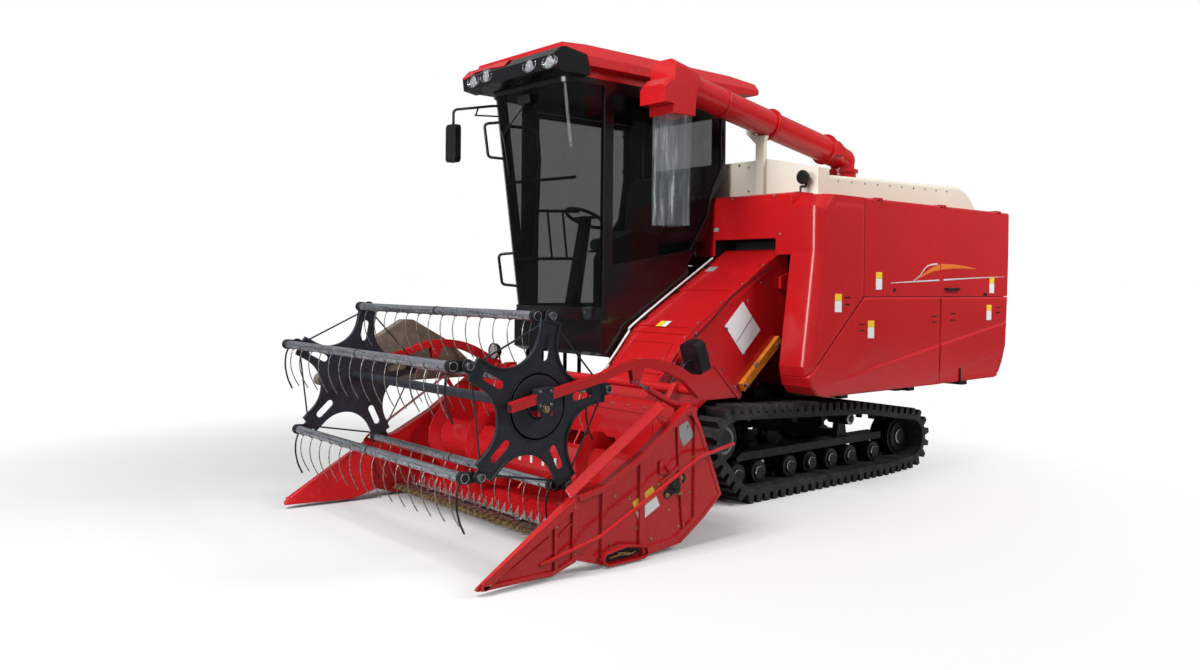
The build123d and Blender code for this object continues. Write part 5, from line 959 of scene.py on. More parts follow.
def feeder_lines():
    """Oil pipe over the feeder's top with its clips, and the wire and hose on its left wall."""
    right, left = feeder_sides()
    line = right + 0.016
    rail = tube([on_slope(BROW, CREST, line, 1.02, 0.034), on_slope(BROW, CREST, line, 0.04, 0.034),
                 on_slope(CHIN, BROW, line, 0.30, 0.030), on_slope(CHIN, BROW, line, 0.02, 0.032),
                 on_slope(LIP, CHIN, line, 0.30, 0.030)], 0.0085, 12, 6)
    piece("oil_pipe", rail, "white_plate", HEADER)
    foot = block((-0.014, -0.02, 0), (0.014, 0.02, 0.026))
    feet = [moved(foot, on_slope(BROW, CREST, line, along), about_x(31)) for along in (0.12, 0.52, 0.92)]
    piece("pipe_clips", joined(*feet), "frame_black", HEADER, bevel=0.002)
    wire = tube([(left + 0.010, 0.105, 1.770), (left + 0.012, -0.30, 1.560), (left + 0.012, -0.577, 1.352),
                 (left + 0.010, -0.719, 1.250)], 0.0045, 8, 6)
    hose = tube([(left + 0.011, -0.719, 1.250), (left + 0.014, -0.80, 1.14), (left + 0.013, -0.93, 0.985),
                 (left + 0.013, -1.08, 0.80), (left + 0.012, -1.30, 0.60)], 0.007, 10, 6)
    piece("feeder_wires", joined(wire, hose), "frame_black", HEADER)


def feeder_plates():
    """Blank plates on the feeder's top and on the bar that locks it up, and that bar's pins."""
    right, _ = feeder_sides()
    bar_face = high("lock_bar")[0]
    grey = [slope_plate(BROW, CREST, rectangle(right + 0.04, right + 0.135, 0.86, 0.93), PLATE_THICKNESS),
            plate(rectangle(0, 0.045, 0, 0.025), PLATE_THICKNESS, (bar_face, -0.115, 0.985),
                  (0, 0.7727, 0.6347), (0, -0.6347, 0.7727))]
    piece("grey_plates", joined(*grey), "grey_plate", HEADER)
    for colour, x0, x1 in (("yellow", 0.215, 0.275), ("white", 0.278, 0.325)):
        blank = slope_plate(BROW, CREST, rectangle(x0, x1, 0.020, 0.095), PLATE_THICKNESS, 0.0092)
        piece(f"{colour}_feeder_plate", blank, f"{colour}_plate", HEADER)
    pin = ((bar_face, 0.017), (bar_face + 0.012, 0.017), (bar_face + 0.016, 0.012))
    pins = [turned(pin, (0, y, z), "x", 20) for y, z in ((-0.205, 0.860), (0.150, 1.152))]
    piece("lock_pins", joined(*pins), "zinc", HEADER)


# ------------------------------------------------------------------ covers of the body
SKIN_RISE = 0.008           # how far the pressed skins stand out from the covers
DOOR_SEAM = (1.817, 1.822)  # the seam in the middle of the upper door, in y
PAINT_LIFT = 0.0003         # clearance of stripes and skins over the covers' face


def smooth_step(value):
    """Ramp from 0 to 1 with level ends: 3 v squared less 2 v cubed, held inside that range."""
    v = np.clip(value, 0.0, 1.0)
    return v * v * (3 - 2 * v)


def thin_shell(outer, inner):
    """Closed sheet between two grids of points: each grid's own quads, and a rim of quads round both."""
    rows, across = outer.shape[:2]
    count = rows * across
    points = np.concatenate([outer.reshape(-1, 3), inner.reshape(-1, 3)])
    front = grid_faces(rows, across)
    i = np.arange(count).reshape(rows, across)
    rim = np.concatenate([i[0, :-1], i[:-1, -1], i[-1, :0:-1], i[:0:-1, 0]])
    after = np.roll(rim, -1)
    sides = np.stack([rim, rim + count, after + count, after], -1)
    return points, np.concatenate([front, front[:, ::-1] + count, sides]).tolist()


def pressed_skin(name, face, heights, left, right, rise, edge, columns):
    """Pressed sheet over a cover: a grid of (y, z) between two borders, each point standing out from
    the face by its rise times a smooth ramp over the distance to the nearest border."""
    z = np.asarray(heights, float)[:, None]
    u = np.linspace(0.0, 1.0, columns)[None, :]
    y0, y1 = left(z), right(z)
    y = y0 + (y1 - y0) * (0.5 - 0.5 * np.cos(pi * u))
    near = np.minimum(np.minimum(y - y0, y1 - y), np.minimum(z - z[0], z[-1] - z) + 0 * y)
    x = face + 0.0002 + (rise(y, z) + 0.0006) * smooth_step(near / edge)
    outer = np.stack([x, y, z + 0 * y], -1)
    inner = outer.copy()
    inner[..., 0] = np.minimum(face - 0.0004, outer[..., 0] - 0.0012)
    return piece(name, thin_shell(outer, inner), "red_paint", angle=50)


def crease_rise(y, z):
    """Rise of the lower panels: level, then drawn in towards a crease, out again at it by a ledge, and
    falling away below it. The crease climbs along the machine and its draw is widest near the front."""
    line = 0.930 + (y - 0.560) * 0.1531
    above = z - line
    start = smooth_step((y - 0.42) / 0.55)
    width = 0.035 + 0.13 * start * (1.0 - 0.62 * smooth_step((y - 1.1) / 1.9))
    drawn = SKIN_RISE * start * np.exp(-(np.maximum(above, 0.0) / width)**2)
    upper = SKIN_RISE - drawn
    lower = SKIN_RISE + 0.003 * start + 0.040 * np.minimum(above + 0.012, 0.0)
    step = smooth_step((above + 0.012) / 0.012)
    return upper * step + lower * (1.0 - step)


def cover_seam(z):
    """Sloping seam between the front cover and the panel below it: y at a height."""
    return 0.020 + (z - 0.935) * 1.1343


def panel_front(z):
    """Front border of the front panel: rounded at its foot, then along the seam."""
    foot = np.interp(z, (0.775, 0.800, 0.860, 0.935), (0.215, 0.110, 0.045, 0.020))
    return np.where(z < 0.935, foot, cover_seam(z))


def panel_rear(z):
    """Rear border of the rear panel: rounded at its foot."""
    return np.interp(z, (0.790, 0.84, 0.93, 1.070, 1.536), (2.765, 2.840, 2.900, 2.957, 2.984))


def cover_front(z):
    """Front border of the front cover, leaning back with its height."""
    return np.interp(z, (1.030, 1.20, 1.45, 1.85, 2.180, 2.262), (0.088, 0.120, 0.160, 0.225, 0.285, 0.330))


def pressed_covers(face):
    """Pressed skins of the front cover and of the two lower panels."""
    pressed_skin("front_lower_skin", face, np.linspace(0.7805, 1.533, 110), lambda z: panel_front(z) + 0.006,
                 lambda z: 1.8155 + 0 * z, crease_rise, 0.014, 130)
    pressed_skin("rear_lower_skin", face, np.linspace(0.7935, 1.533, 110), lambda z: 1.8225 + 0 * z,
                 panel_rear, crease_rise, 0.014, 110)
    pressed_skin("front_cover_skin", face, np.linspace(1.030, 2.262, 90), cover_front,
                 lambda z: np.minimum(0.6965, cover_seam(z) - 0.007), lambda y, z: 0.006 + 0 * y, 0.030, 60)


def ribbon(x, path, first_width, last_width, thickness=0.0006):
    """Thin band on a side wall at x along a path of (y, z), its width changing evenly from end to end."""
    along = np.gradient(path, axis=0)
    widths = np.linspace(first_width, last_width, len(path))
    across = unit(np.stack([-along[:, 1], along[:, 0]], -1)) * widths[:, None] / 2
    below, above = path - across, path + across
    rows = [np.concatenate([np.full((len(path), 1), x + rise), edge], 1)
            for rise, edge in ((0.0, below), (0.0, above), (thickness, above), (thickness, below))]
    return loft(np.stack(rows, 1))


def door_stripes(face):
    """Silver lines swept up from the nose with an orange sweep between them, both parted at the seam
    in the middle of the door."""
    lower = smooth_path([(1.067, 1.648), (1.387, 1.661), (1.80, 1.678), (2.419, 1.704), (2.930, 1.721)], 8)
    upper = smooth_path([(1.387, 1.664), (1.500, 1.715), (1.612, 1.795), (1.800, 1.822)], 6)
    silver = [ribbon(face, lower[lower[:, 0] < DOOR_SEAM[0]], 0.006, 0.014),
              ribbon(face, lower[lower[:, 0] > DOOR_SEAM[1]], 0.014, 0.004),
              ribbon(face, upper[:-1], 0.004, 0.016)]
    piece("silver_stripes", joined(*silver), "silver_stripe", "upper_side_door")
    sweep = smooth_path([(1.440, 1.676), (1.560, 1.722), (1.680, 1.765), (1.812, 1.792)], 6)
    after = smooth_path([(1.824, 1.794), (2.05, 1.800), (2.25, 1.794), (2.417, 1.783)], 6)
    orange = [ribbon(face, sweep, 0.004, 0.052), ribbon(face, after, 0.052, 0.003)]
    piece("orange_stripes", joined(*orange), "stripe_orange", "upper_side_door")


def cover_slots(face, skin):
    """Ventilation slots in pairs, on the front cover and on the lower panels, drawn as dark slabs of painted
    shade.
    """
    # painted shade: each slot is a dark slab that stands for the shadow in its opening
    slots = []
    for y, heights, width, top in ((0.476, (1.531, 1.477), 0.070, face + 0.0072),
                                   (0.670, (1.321, 1.270), 0.072, skin + 0.0004),
                                   (1.710, (1.368, 1.319), 0.078, skin + 0.0004),
                                   (2.015, (1.386, 1.331), 0.080, skin + 0.0004),
                                   (2.801, (1.434, 1.388), 0.085, skin + 0.0004)):
        slots += [slab(oblong(width, 0.011, 0.005, 3) + (y, z), top - 0.0006, top + 0.0012) for z in heights]
    piece("cover_slots", joined(*slots), "dark_seal")


def cover_plates(face, skin):
    """Blank yellow plates, each over a blank white one, on the door, the front cover and the panels."""
    for name, body, top, places in (("door", "upper_side_door", face, ((0.905, 1.663), (2.698, 1.638))),
                                    ("cover", "machine", face + 0.0068, ((0.362, 1.489),)),
                                    ("panel", "machine", skin + 0.0004, ((0.791, 1.277), (2.637, 1.389)))):
        for colour, height, above in (("yellow", 0.053, 0.044), ("white", 0.088, -0.0265)):
            blanks = [slab(oblong(0.086, height, 0.004, 2) + (y, z + above), top - 0.0004, top + 0.0010)
                      for y, z in places]
            piece(f"{colour}_{name}_plates", joined(*blanks), f"{colour}_plate", body)


def cover_handles(face):
    """Bow handle, lock and catch of the upper door, and the strap that hangs below the panels."""
    grip = slab([(1.0490, 1.884), (1.0812, 1.912), (1.0812, 2.098), (1.0490, 2.126), (1.0490, 2.050),
                 (1.0645, 2.042), (1.0645, 1.943), (1.0490, 1.935)], 1.5925, 1.6115, "z")
    lock = turned([(face - 0.001, 0.019), (face + 0.003, 0.018), (face + 0.004, 0.008),
                   (face + 0.001, 0.006)], (0, 1.125, 1.591), "x", 28)
    piece("door_handle", joined(grip, lock), "black_plastic", "upper_side_door", bevel=0.003)
    catch = slab(stadium((2.560, 1.5565), (2.600, 1.5565), 0.012, 0.012), face - 0.001, face + 0.004)
    piece("door_catch", catch, "black_plastic", "upper_side_door", bevel=0.001)
    strap = tube([(face + 0.006, 2.151, 0.905), (face + 0.008, 2.151, 0.83), (face + 0.006, 2.155, 0.764)],
                 0.007, 8, 3)
    piece("hanging_strap", strap, "frame_black")


def cover_pieces():
    """Skins, stripes, painted shade of the slots, blank plates and handles of the left side's covers."""
    face = high("lower_side_panels")[0] + PAINT_LIFT
    skin = face + SKIN_RISE
    pressed_covers(face)
    door_stripes(face)
    cover_slots(face, skin)
    cover_plates(face, skin)
    cover_handles(face)


def hood_pieces():
    """Rod, small plate, dark sheets of painted shade in the throat, and bolts on the front of the hood."""
    front = 0.140
    proud = front - 0.012
    rod = tube([(-0.162, proud, 2.049), (-0.166, proud, 1.985), (-0.175, proud, 1.935),
                (-0.215, proud, 1.930), (-0.269, proud, 1.946)], 0.005, 8, 5)
    hook = turned([(front - 0.018, 0.010), (front - 0.004, 0.012), (front + 0.001, 0.012)],
                  (-0.162, 0, 2.052), "y", 16)
    piece("hood_rod", joined(rod, hook), "frame_black")
    tag = slab(rectangle(-0.045, 0.010, 2.060, 2.092), front - 0.0016, front - 0.0002, "y")
    piece("hood_tag", tag, "grey_plate")
    # painted shade: dark sheets line the throat under the hood, where the opening lies in shadow
    throat_shade_sheets = [block((-0.0285, 0.1445, 1.9885), (0.6185, 0.3970, 1.9898)),
             block((0.6185, 0.1445, 1.862), (0.6198, 0.3970, 1.9885)),
             block((-0.0298, 0.1445, 1.857), (-0.0285, 0.3970, 1.9885)),
             block((-0.0285, 0.3972, 1.857), (0.6185, 0.3992, 1.9885))]
    piece("throat_seal", joined(*throat_shade_sheets), "dark_seal")
    heads = front_bolts(front, ((-0.28, 2.32), (0.16, 2.32), (0.60, 2.32), (-0.28, 2.02), (0.66, 2.02)))
    piece("hood_bolts", heads, "zinc")


# ------------------------------------------------------------------ cab
def screen_pieces():
    """Guard rails just behind the screen, which lean with its frame, and the wiper before it."""
    rails = [tube([(-0.961, -1.342, 2.880), (-0.760, -1.338, 2.850), (-0.612, -1.334, 2.821),
                   (-0.560, -1.330, 2.795), (-0.539, -1.322, 2.745), (-0.548, -1.300, 2.60),
                   (-0.586, -1.276, 2.45), (-0.66, -1.232, 2.15), (-0.735, -1.196, 1.90),
                   (-0.754, -1.186, 1.843)], 0.0135, 12, 5)]
    for start, end in (((-1.009, -1.278, 2.430), (-0.140, -1.268, 2.415)),
                       ((-0.660, -1.238, 2.190), (-0.140, -1.232, 2.160)),
                       ((-1.002, -1.186, 1.816), (-0.140, -1.184, 1.807))):
        rails.append(tube([start, end], 0.0125, 12))
    for x in (-0.52, -0.33):
        rails.append(tube([(x, -1.236, 2.175), (x - 0.004, -1.186, 1.812)], 0.009, 10))
    piece("screen_rails", joined(*rails), "frame_black")
    wiper = [tube([(-0.575, -1.428, 3.020), (-0.575, -1.425, 2.990), (-0.70, -1.408, 2.93),
                   (-0.93, -1.378, 2.80)], 0.006, 8, 4),
             tube([(-0.945, -1.385, 2.83), (-0.93, -1.365, 2.72), (-0.915, -1.332, 2.48)], 0.0055, 8, 3),
             slab(oblong(0.16, 0.07, 0.015) + (-0.575, 3.03), -1.435, -1.405, "y")]
    piece("screen_wiper", joined(*wiper), "black_plastic")


def visor_brow():
    """Red brow over the visor's right lamps: a sheet bent round the roof's front edge, reaching
    further down towards the corner."""
    front = low("roof_visor")[1]
    fold = arr((0.104, 3.3305), (0.058, 3.3225), (-0.0008, 3.2560), (0.0006, 3.2440))
    x = np.linspace(-1.189, -0.615, 40)[:, None]
    reach = np.interp(x, (-1.189, -1.165, -1.06, -0.90, -0.615), (3.0, 2.85, 1.50, 1.42, 1.80))
    s = reach * np.linspace(0.0, 1.0, 13)[None, :]
    y = np.interp(s, range(len(fold)), fold[:, 0]) + front
    z = np.interp(s, range(len(fold)), fold[:, 1])
    sheet = np.stack([x + 0 * s, y, z], -1)
    brow = thin_shell(sheet + (0, -0.0012, 0.0016), sheet + (0, 0.003, -0.003))
    piece("visor_brow", brow, "red_paint", angle=40)


def oval_rings(x, y, z, rows, sides=40):
    """Upright ovals about (x, z), one for each row of (depth behind y, half width)."""
    a = np.arange(sides) * 2 * pi / sides
    return np.stack([np.stack([x + w * np.cos(a), np.full(sides, y + d), z + w * 0.60 * np.sin(a)], -1)
                     for d, w in rows])


def visor_lamps():
    """Bright rims and oval lenses of the four lamps in the visor."""
    front = low("roof_visor")[1]
    rim_rows = ((0.018, 0.086), (0.002, 0.086), (0.0015, 0.074), (0.010, 0.070))
    lens_rows = ((0.0100, 0.072), (0.0060, 0.058), (0.0040, 0.030), (0.0035, 0.006))
    places = ((-1.040, 3.216), (-0.855, 3.232), (-0.280, 3.219), (-0.035, 3.208))
    rims = [loft(oval_rings(x, front, z, rim_rows), caps=False) for x, z in places]
    lenses = [loft(oval_rings(x, front, z, lens_rows)) for x, z in places]
    piece("visor_lamp_rims", joined(*rims), "silver_trim")
    piece("visor_lenses", joined(*lenses), "lamp_lens")


def cab_pieces():
    """Rails and wiper of the screen, brow and lamps of the visor, and the sill's bolts."""
    screen_pieces()
    visor_brow()
    visor_lamps()
    heads = front_bolts(-1.1705, [(x, 1.400) for x in (-1.02, -0.79, -0.57, -0.35, -0.13)], TINY_BOLT)
    piece("sill_bolts", heads, "zinc")


def seat_pieces():
    """Cushions of the driver's seat, its shell and its post."""
    middle = (low("operator_seat")[0] + high("operator_seat")[0]) / 2
    seat = piece("seat_cushion", moved(cushion(0.46, 0.44, 0.12, 0.42), (middle, -0.405, 1.955), about_x(4)),
                 "seat_cloth")
    rest = piece("seat_back", moved(cushion(0.44, 0.50, 0.12, 0.42), (middle, -0.145, 2.275), about_x(82)),
                 "seat_cloth")
    shell = slab([(-0.62, 1.882), (-0.20, 1.882), (-0.085, 2.02), (-0.062, 2.50), (-0.078, 2.52),
                  (-0.098, 2.05), (-0.205, 1.905), (-0.60, 1.900)], middle - 0.215, middle + 0.215)
    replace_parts(piece("seat_shell", shell, "black_plastic", bevel=0.004), "operator_seat")
    post = [block((middle - 0.17, -0.54, 1.416), (middle + 0.17, -0.25, 1.46)),
            turned([(1.46, 0.09), (1.62, 0.085), (1.66, 0.075), (1.72, 0.085), (1.76, 0.075), (1.82, 0.085),
                    (1.882, 0.10)], (middle, -0.40, 0), "z", 28)]
    piece("seat_post", joined(*post), "frame_black", bevel=0.004)
    for cloth in (seat, rest):
        cloth.modifiers.new("Soft edges", "SUBSURF").levels = 1
        cloth.modifiers[-1].render_levels = 1


# ------------------------------------------------------------------ unloading tube
TUBE_ROOT = (0.300, 1.270, 2.796)
TUBE_RISE = radians(10.1)


def tube_axis(distance):
    """Point on the unloading tube's axis, that far from its root."""
    x, y, z = TUBE_ROOT
    return np.array((x, y - distance * cos(TUBE_RISE), z + distance * sin(TUBE_RISE)))


def flange_pieces():
    """Flanges of the unloading tube and the bolts round the first of them."""
    root = tube_axis(0.0)
    lean = facing(tube_axis(1.0) - root)
    rings = [moved(turned([(start, 0.1115), (start, out), (start + wide, out), (start + wide, 0.1115)],
                          (0, 0, 0), "z", 48), root, lean)
             for start, wide, out in ((0.850, 0.010, 0.133), (0.864, 0.010, 0.133), (1.450, 0.012, 0.121))]
    piece("tube_flanges", joined(*rings), "red_paint", "unload_tube", bevel=0.0015)
    a = np.arange(12) * 2 * pi / 12
    places = np.stack([0.1225 * np.cos(a), 0.1225 * np.sin(a), np.full(12, 0.850)], -1) @ lean.T + root
    heads = bolts(places, root - tube_axis(1.0), 0.0065, 0.006)
    piece("flange_bolts", heads, "zinc", "unload_tube")


def sleeve_piece():
    """Clear sleeve that hangs from the spout. Each level is a rounded square, (c^6 + s^6)^(-1/6) of its
    half widths, drawn in by folds that deepen with the root of the drop and by a fine crumple."""
    lowest, highest = low("spout_sleeve"), high("spout_sleeve")
    centre, half = (lowest + highest) / 2, (highest - lowest) / 2
    height = highest[2] - lowest[2]
    turns, drops = 96, 60
    a = np.arange(turns) * 2 * pi / turns
    t = np.linspace(0.0, 1.0, drops)[:, None]
    seven = 0.050 * t**0.5 * (0.5 + 0.5 * np.cos(7 * a + 2.4 * t))
    three = 0.045 * t * (0.5 + 0.5 * np.cos(3 * a - 3.1 * t))
    crumple = 1.0 - 0.008 * (0.5 + 0.5 * np.sin(31 * t + 5 * a)) * t
    square = 1.0 / (np.abs(np.cos(a))**6 + np.abs(np.sin(a))**6)**(1 / 6)
    reach = (1.0 - seven - three) * crumple * square * 0.985
    points = np.stack([centre[0] + half[0] * reach * np.cos(a), centre[1] + half[1] * reach * np.sin(a),
                       np.broadcast_to(highest[2] - 0.002 - (height - 0.004) * t, reach.shape)], -1)
    faces = grid_faces(drops, turns, wrap_columns=True).tolist()
    film = piece("film_sleeve", (points.reshape(-1, 3), faces), "sleeve_film", "unload_tube", angle=180)
    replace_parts(film, "spout_sleeve")


# ------------------------------------------------------------------ tracks
def track_pieces():
    """Bright caps on the rollers, the tensioner and the idler, and the drive's hub, on both sides."""
    wheel_face = high("left_track_wheels")[0] - 0.0125
    rollers = [(y, 0.190) for y in (-0.318, -0.077, 0.296, 0.568, 0.830, 1.093, 1.427)]
    tensioner, idler, drive = (1.076, 0.500), (0.0, 1.815, 0.283), (0.0, -0.485, 0.468)
    cap = ((0.0, 0.050), (0.004, 0.050), (0.010, 0.044), (0.011, 0.030), (0.007, 0.026), (0.011, 0.022),
           (0.013, 0.010))
    caps = [turned(cap, (0.0, y, z), "x", 28) for y, z in rollers + [tensioner]]
    caps.append(turned([(0.0, 0.070), (0.006, 0.068), (0.010, 0.050), (0.008, 0.034), (0.013, 0.030),
                        (0.013, 0.010)], idler, "x", 36))
    hub = turned([(0.0, 0.105), (0.006, 0.104), (0.010, 0.070), (0.012, 0.040)], drive, "x", 40)
    for side, sign in (("left", 1), ("right", -1)):
        for name, (points, faces), flatten, finish in (("roller_caps", joined(*caps), 0.9, "silver_trim"),
                                                       ("drive_hub", hub, 1.0, "worn_steel")):
            placed = (points * (flatten, 1, 1) + (wheel_face, 0, 0)) * (sign, 1, 1)
            piece(f"{side}_{name}", (placed, [list(f)[::sign] for f in faces]), finish)


# ------------------------------------------------------------------ tank, rear and right side
def hood_back(z):
    """Back of the rear hood at a height: y, leaning forward towards its foot."""
    return 2.994 - (2.248 - z) * 0.014


def rear_pieces():
    """Tail lamps, blank plate, folds and bolts of the rear hood and the right side."""
    back = hood_back(2.0)
    for name, finish, width, height, corner, z, start, end in (
            ("tail_lamp_bodies", "black_plastic", 0.10, 0.26, 0.02, 2.03, -0.004, 0.014),
            ("tail_lamp_red", "red_lens", 0.082, 0.105, 0.016, 2.088, 0.012, 0.024),
            ("tail_lamp_amber", "amber_lens", 0.082, 0.105, 0.016, 1.972, 0.012, 0.024)):
        pair = [slab(oblong(width, height, corner) + (x, z), back + start, back + end, "y")
                for x in (-0.80, 0.80)]
        piece(name, joined(*pair), finish, bevel=0.004)
    low_back = hood_back(1.66)
    board = slab(oblong(0.34, 0.15, 0.012) + (0.0, 1.66), low_back - 0.002, low_back + 0.003, "y")
    piece("rear_blank_plate", board, "white_plate", bevel=0.001)
    rims = bolts([(x, hood_back(z) - 0.001, z) for x in np.linspace(-0.90, 0.90, 7) for z in (2.18, 1.72)],
                 REARWARD, *BOLT)
    side = low("right_side_panels")[0]
    flanks = bolts([(side, y, z) for y in np.linspace(1.35, 2.70, 6) for z in (0.88, 1.40)],
                   RIGHTWARD, *BOLT)
    wall = side_bolts(0.780, [(y, 2.468 + 0.018 * (y - 0.7)) for y in np.linspace(0.72, 2.36, 10)],
                      (0.006, 0.004))
    piece("rear_bolts", joined(rims, flanks, wall), "zinc")
    top = hood_back(2.22)
    folds = [slab(rectangle(x - 0.012, x + 0.012, 1.36, 2.22), top - 0.008, top + 0.007, "y")
             for x in (-0.62, 0.62)]
    piece("rear_folds", joined(*folds), "red_paint", bevel=0.003)


def tank_pieces():
    """Painted shade of a hole (a dark disc), fold and bolts on the grain tank's front wall."""
    front = low("grain_tank")[1]
    # painted shade: the dark disc stands for the shadow inside the hole
    hole_shade = turned([(front - 0.0008, 0.012), (front + 0.002, 0.012)], (0.043, 0, 2.623), "y", 20)
    piece("tank_hole", hole_shade, "dark_seal")
    fold = strip([(-0.62, front, 2.36), (-0.62, front, 2.63)], 0.012, 0.003, FORWARD)
    piece("tank_fold", fold, "cream_paint", bevel=0.001)
    seats = ((-0.95, 2.61), (-0.30, 2.61), (0.15, 2.60), (-0.95, 2.40), (-0.30, 2.40), (0.15, 2.40))
    piece("tank_bolts", front_bolts(front, seats), "zinc")


# ------------------------------------------------------------------ studio
CAMERA_AT = (5.567, -5.780, 1.623)
CAMERA_YAW = 49.243
CAMERA_DIP = 0.537
CAMERA_ROLL = -0.576
CAMERA_LENS = 29.136
CAMERA_SHIFT = (-0.0125, -0.0355)
# Centre of the floor's grey patch, a painted shade placed where the machine's shadow falls
SHADE_CENTRE = (-0.6, -1.5, 0.0)
SHADE_REACH = (1.6, 5.4)        # where the floor starts to turn white, and where it is white


def axes_of_view():
    """Right, up and forward directions of the camera from its yaw, dip and roll."""
    yaw, dip, roll = radians(CAMERA_YAW), radians(CAMERA_DIP), radians(CAMERA_ROLL)
    ahead = np.array((-sin(yaw) * cos(dip), cos(yaw) * cos(dip), -sin(dip)))
    right = np.array((cos(yaw), sin(yaw), 0.0))
    up = np.cross(right, ahead)
    return right * cos(roll) - up * sin(roll), right * sin(roll) + up * cos(roll), ahead


def look_along(direction, place):
    """Matrix of a lamp at a place that shines along a direction."""
    w = -unit(np.asarray(direction, float))
    u = unit(np.cross((0, 0, 1), w)) if abs(w[2]) < 0.99 else np.array((1.0, 0, 0))
    v = np.cross(w, u)
    matrix = np.eye(4)
    matrix[:3, 0], matrix[:3, 1], matrix[:3, 2], matrix[:3, 3] = u, v, w, place
    return matrix.T.tolist()


def place_camera():
    """Camera of the studio, and plain colours for what it sees."""
    bpy.context.scene.view_settings.view_transform = "Standard"
    right, up, ahead = axes_of_view()
    data = bpy.data.cameras.new("Camera")
    data.lens = CAMERA_LENS
    data.sensor_width = 36.0
    data.shift_x, data.shift_y = CAMERA_SHIFT
    data.clip_end = 200.0
    camera = bpy.data.objects.new("Camera", data)
    bpy.context.scene.collection.objects.link(camera)
    matrix = np.eye(4)
    matrix[:3, 0], matrix[:3, 1], matrix[:3, 2], matrix[:3, 3] = right, up, -ahead, CAMERA_AT
    camera.matrix_world = matrix.T.tolist()
    bpy.context.scene.camera = camera


def soft_light(name, place, target, size, energy):
    """Square area lamp aimed at a target."""
    data = bpy.data.lights.new(name, "AREA")
    data.shape = "SQUARE"
    data.size = size
    data.energy = energy
    lamp = bpy.data.objects.new(name, data)
    bpy.context.scene.collection.objects.link(lamp)
    lamp.matrix_world = look_along(np.array(target, float) - np.array(place, float), place)
    return lamp


def studio_lamps():
    """Key lamp high at the front, side lamp behind the machine's left, and a low front lamp."""
    soft_light("Key lamp", (1.5, -7.0, 8.5), (0.2, -0.6, 1.3), 3.5, 860.0)
    soft_light("Side lamp", (7.0, 5.0, 6.5), (0.4, 0.6, 1.4), 3.0, 740.0).visible_glossy = False
    soft_light("Front lamp", (0.5, -9.5, 3.4), (0.2, -0.6, 1.5), 3.0, 330.0)


def pale_floor(radius=40.0):
    """Round floor around the machine: the camera sees it grey near the shade centre, a painted shade where
    the machine's shadow falls, turning to plain white with distance.
    """
    a = np.arange(64) * 2 * pi / 64
    points = np.stack([radius * np.cos(a), radius * np.sin(a), np.full(64, -0.001)], -1)
    mesh = bpy.data.meshes.new("Floor")
    mesh.from_pydata(points.tolist(), [], [list(range(64))])
    floor = bpy.data.objects.new("Floor", mesh)
    bpy.context.scene.collection.objects.link(floor)
    g = Graph("floor_white")
    seen = g.nodes.new("ShaderNodeLightPath").outputs["Is Camera Ray"]
    # painted shade: the camera sees the floor grey near the machine; other rays see it darker still, so it
    # bounces less light
    g.finish(Base_Color=g.mix(seen, (0.30, 0.30, 0.30), (0.62, 0.62, 0.62)), Roughness=0.9,
             Specular_IOR_Level=0.1)
    bright = g.add("ShaderNodeEmission", Color=(1.0, 1.0, 1.0, 1.0), Strength=1.0)
    away = g.nodes.new("ShaderNodeVectorMath")
    away.operation = "DISTANCE"
    g.wire(g.place, away.inputs[0])
    away.inputs[1].default_value = SHADE_CENTRE
    painted_shade_fade = g.spread(away.outputs["Value"], *SHADE_REACH, 0.0, 1.0)
    blend = g.nodes.new("ShaderNodeMixShader")
    g.links.new(g.math("MULTIPLY", painted_shade_fade, seen), blend.inputs[0])
    g.links.new(g.shader.outputs[0], blend.inputs[1])
    g.links.new(bright.outputs[0], blend.inputs[2])
    g.links.new(blend.outputs[0], g.nodes["Material Output"].inputs["Surface"])
    mesh.materials.append(g.material)


def white_world():
    """World that is white to the camera and grades from pale floor to bright ceiling for all else."""
    world = bpy.data.worlds.new("Studio")
    bpy.context.scene.world = world
    world.use_nodes = True
    nodes, links = world.node_tree.nodes, world.node_tree.links
    background = nodes["Background"]
    white = nodes.new("ShaderNodeBackground")
    white.inputs["Color"].default_value = (1.0, 1.0, 1.0, 1.0)
    place = nodes.new("ShaderNodeTexCoord")
    split = nodes.new("ShaderNodeSeparateXYZ")
    links.new(place.outputs["Generated"], split.inputs[0])
    ramp = nodes.new("ShaderNodeValToRGB")
    for stop, (at, value) in zip(ramp.color_ramp.elements, ((0.0, 0.30), (1.0, 1.0))):
        stop.position = at
        stop.color = (value, value, value, 1.0)
    for at, value in ((0.48, 0.35), (0.56, 0.62)):
        stop = ramp.color_ramp.elements.new(at)
        stop.color = (value, value, value * 1.02, 1.0)
    lift = nodes.new("ShaderNodeMapRange")
    lift.inputs["From Min"].default_value = -1.0
    links.new(split.outputs["Z"], lift.inputs["Value"])
    links.new(lift.outputs[0], ramp.inputs[0])
    links.new(ramp.outputs[0], background.inputs["Color"])
    background.inputs["Strength"].default_value = 0.36
    seen = nodes.new("ShaderNodeLightPath")
    blend = nodes.new("ShaderNodeMixShader")
    links.new(seen.outputs["Is Camera Ray"], blend.inputs[0])
    links.new(background.outputs[0], blend.inputs[1])
    links.new(white.outputs[0], blend.inputs[2])
    links.new(blend.outputs[0], nodes["World Output"].inputs["Surface"])


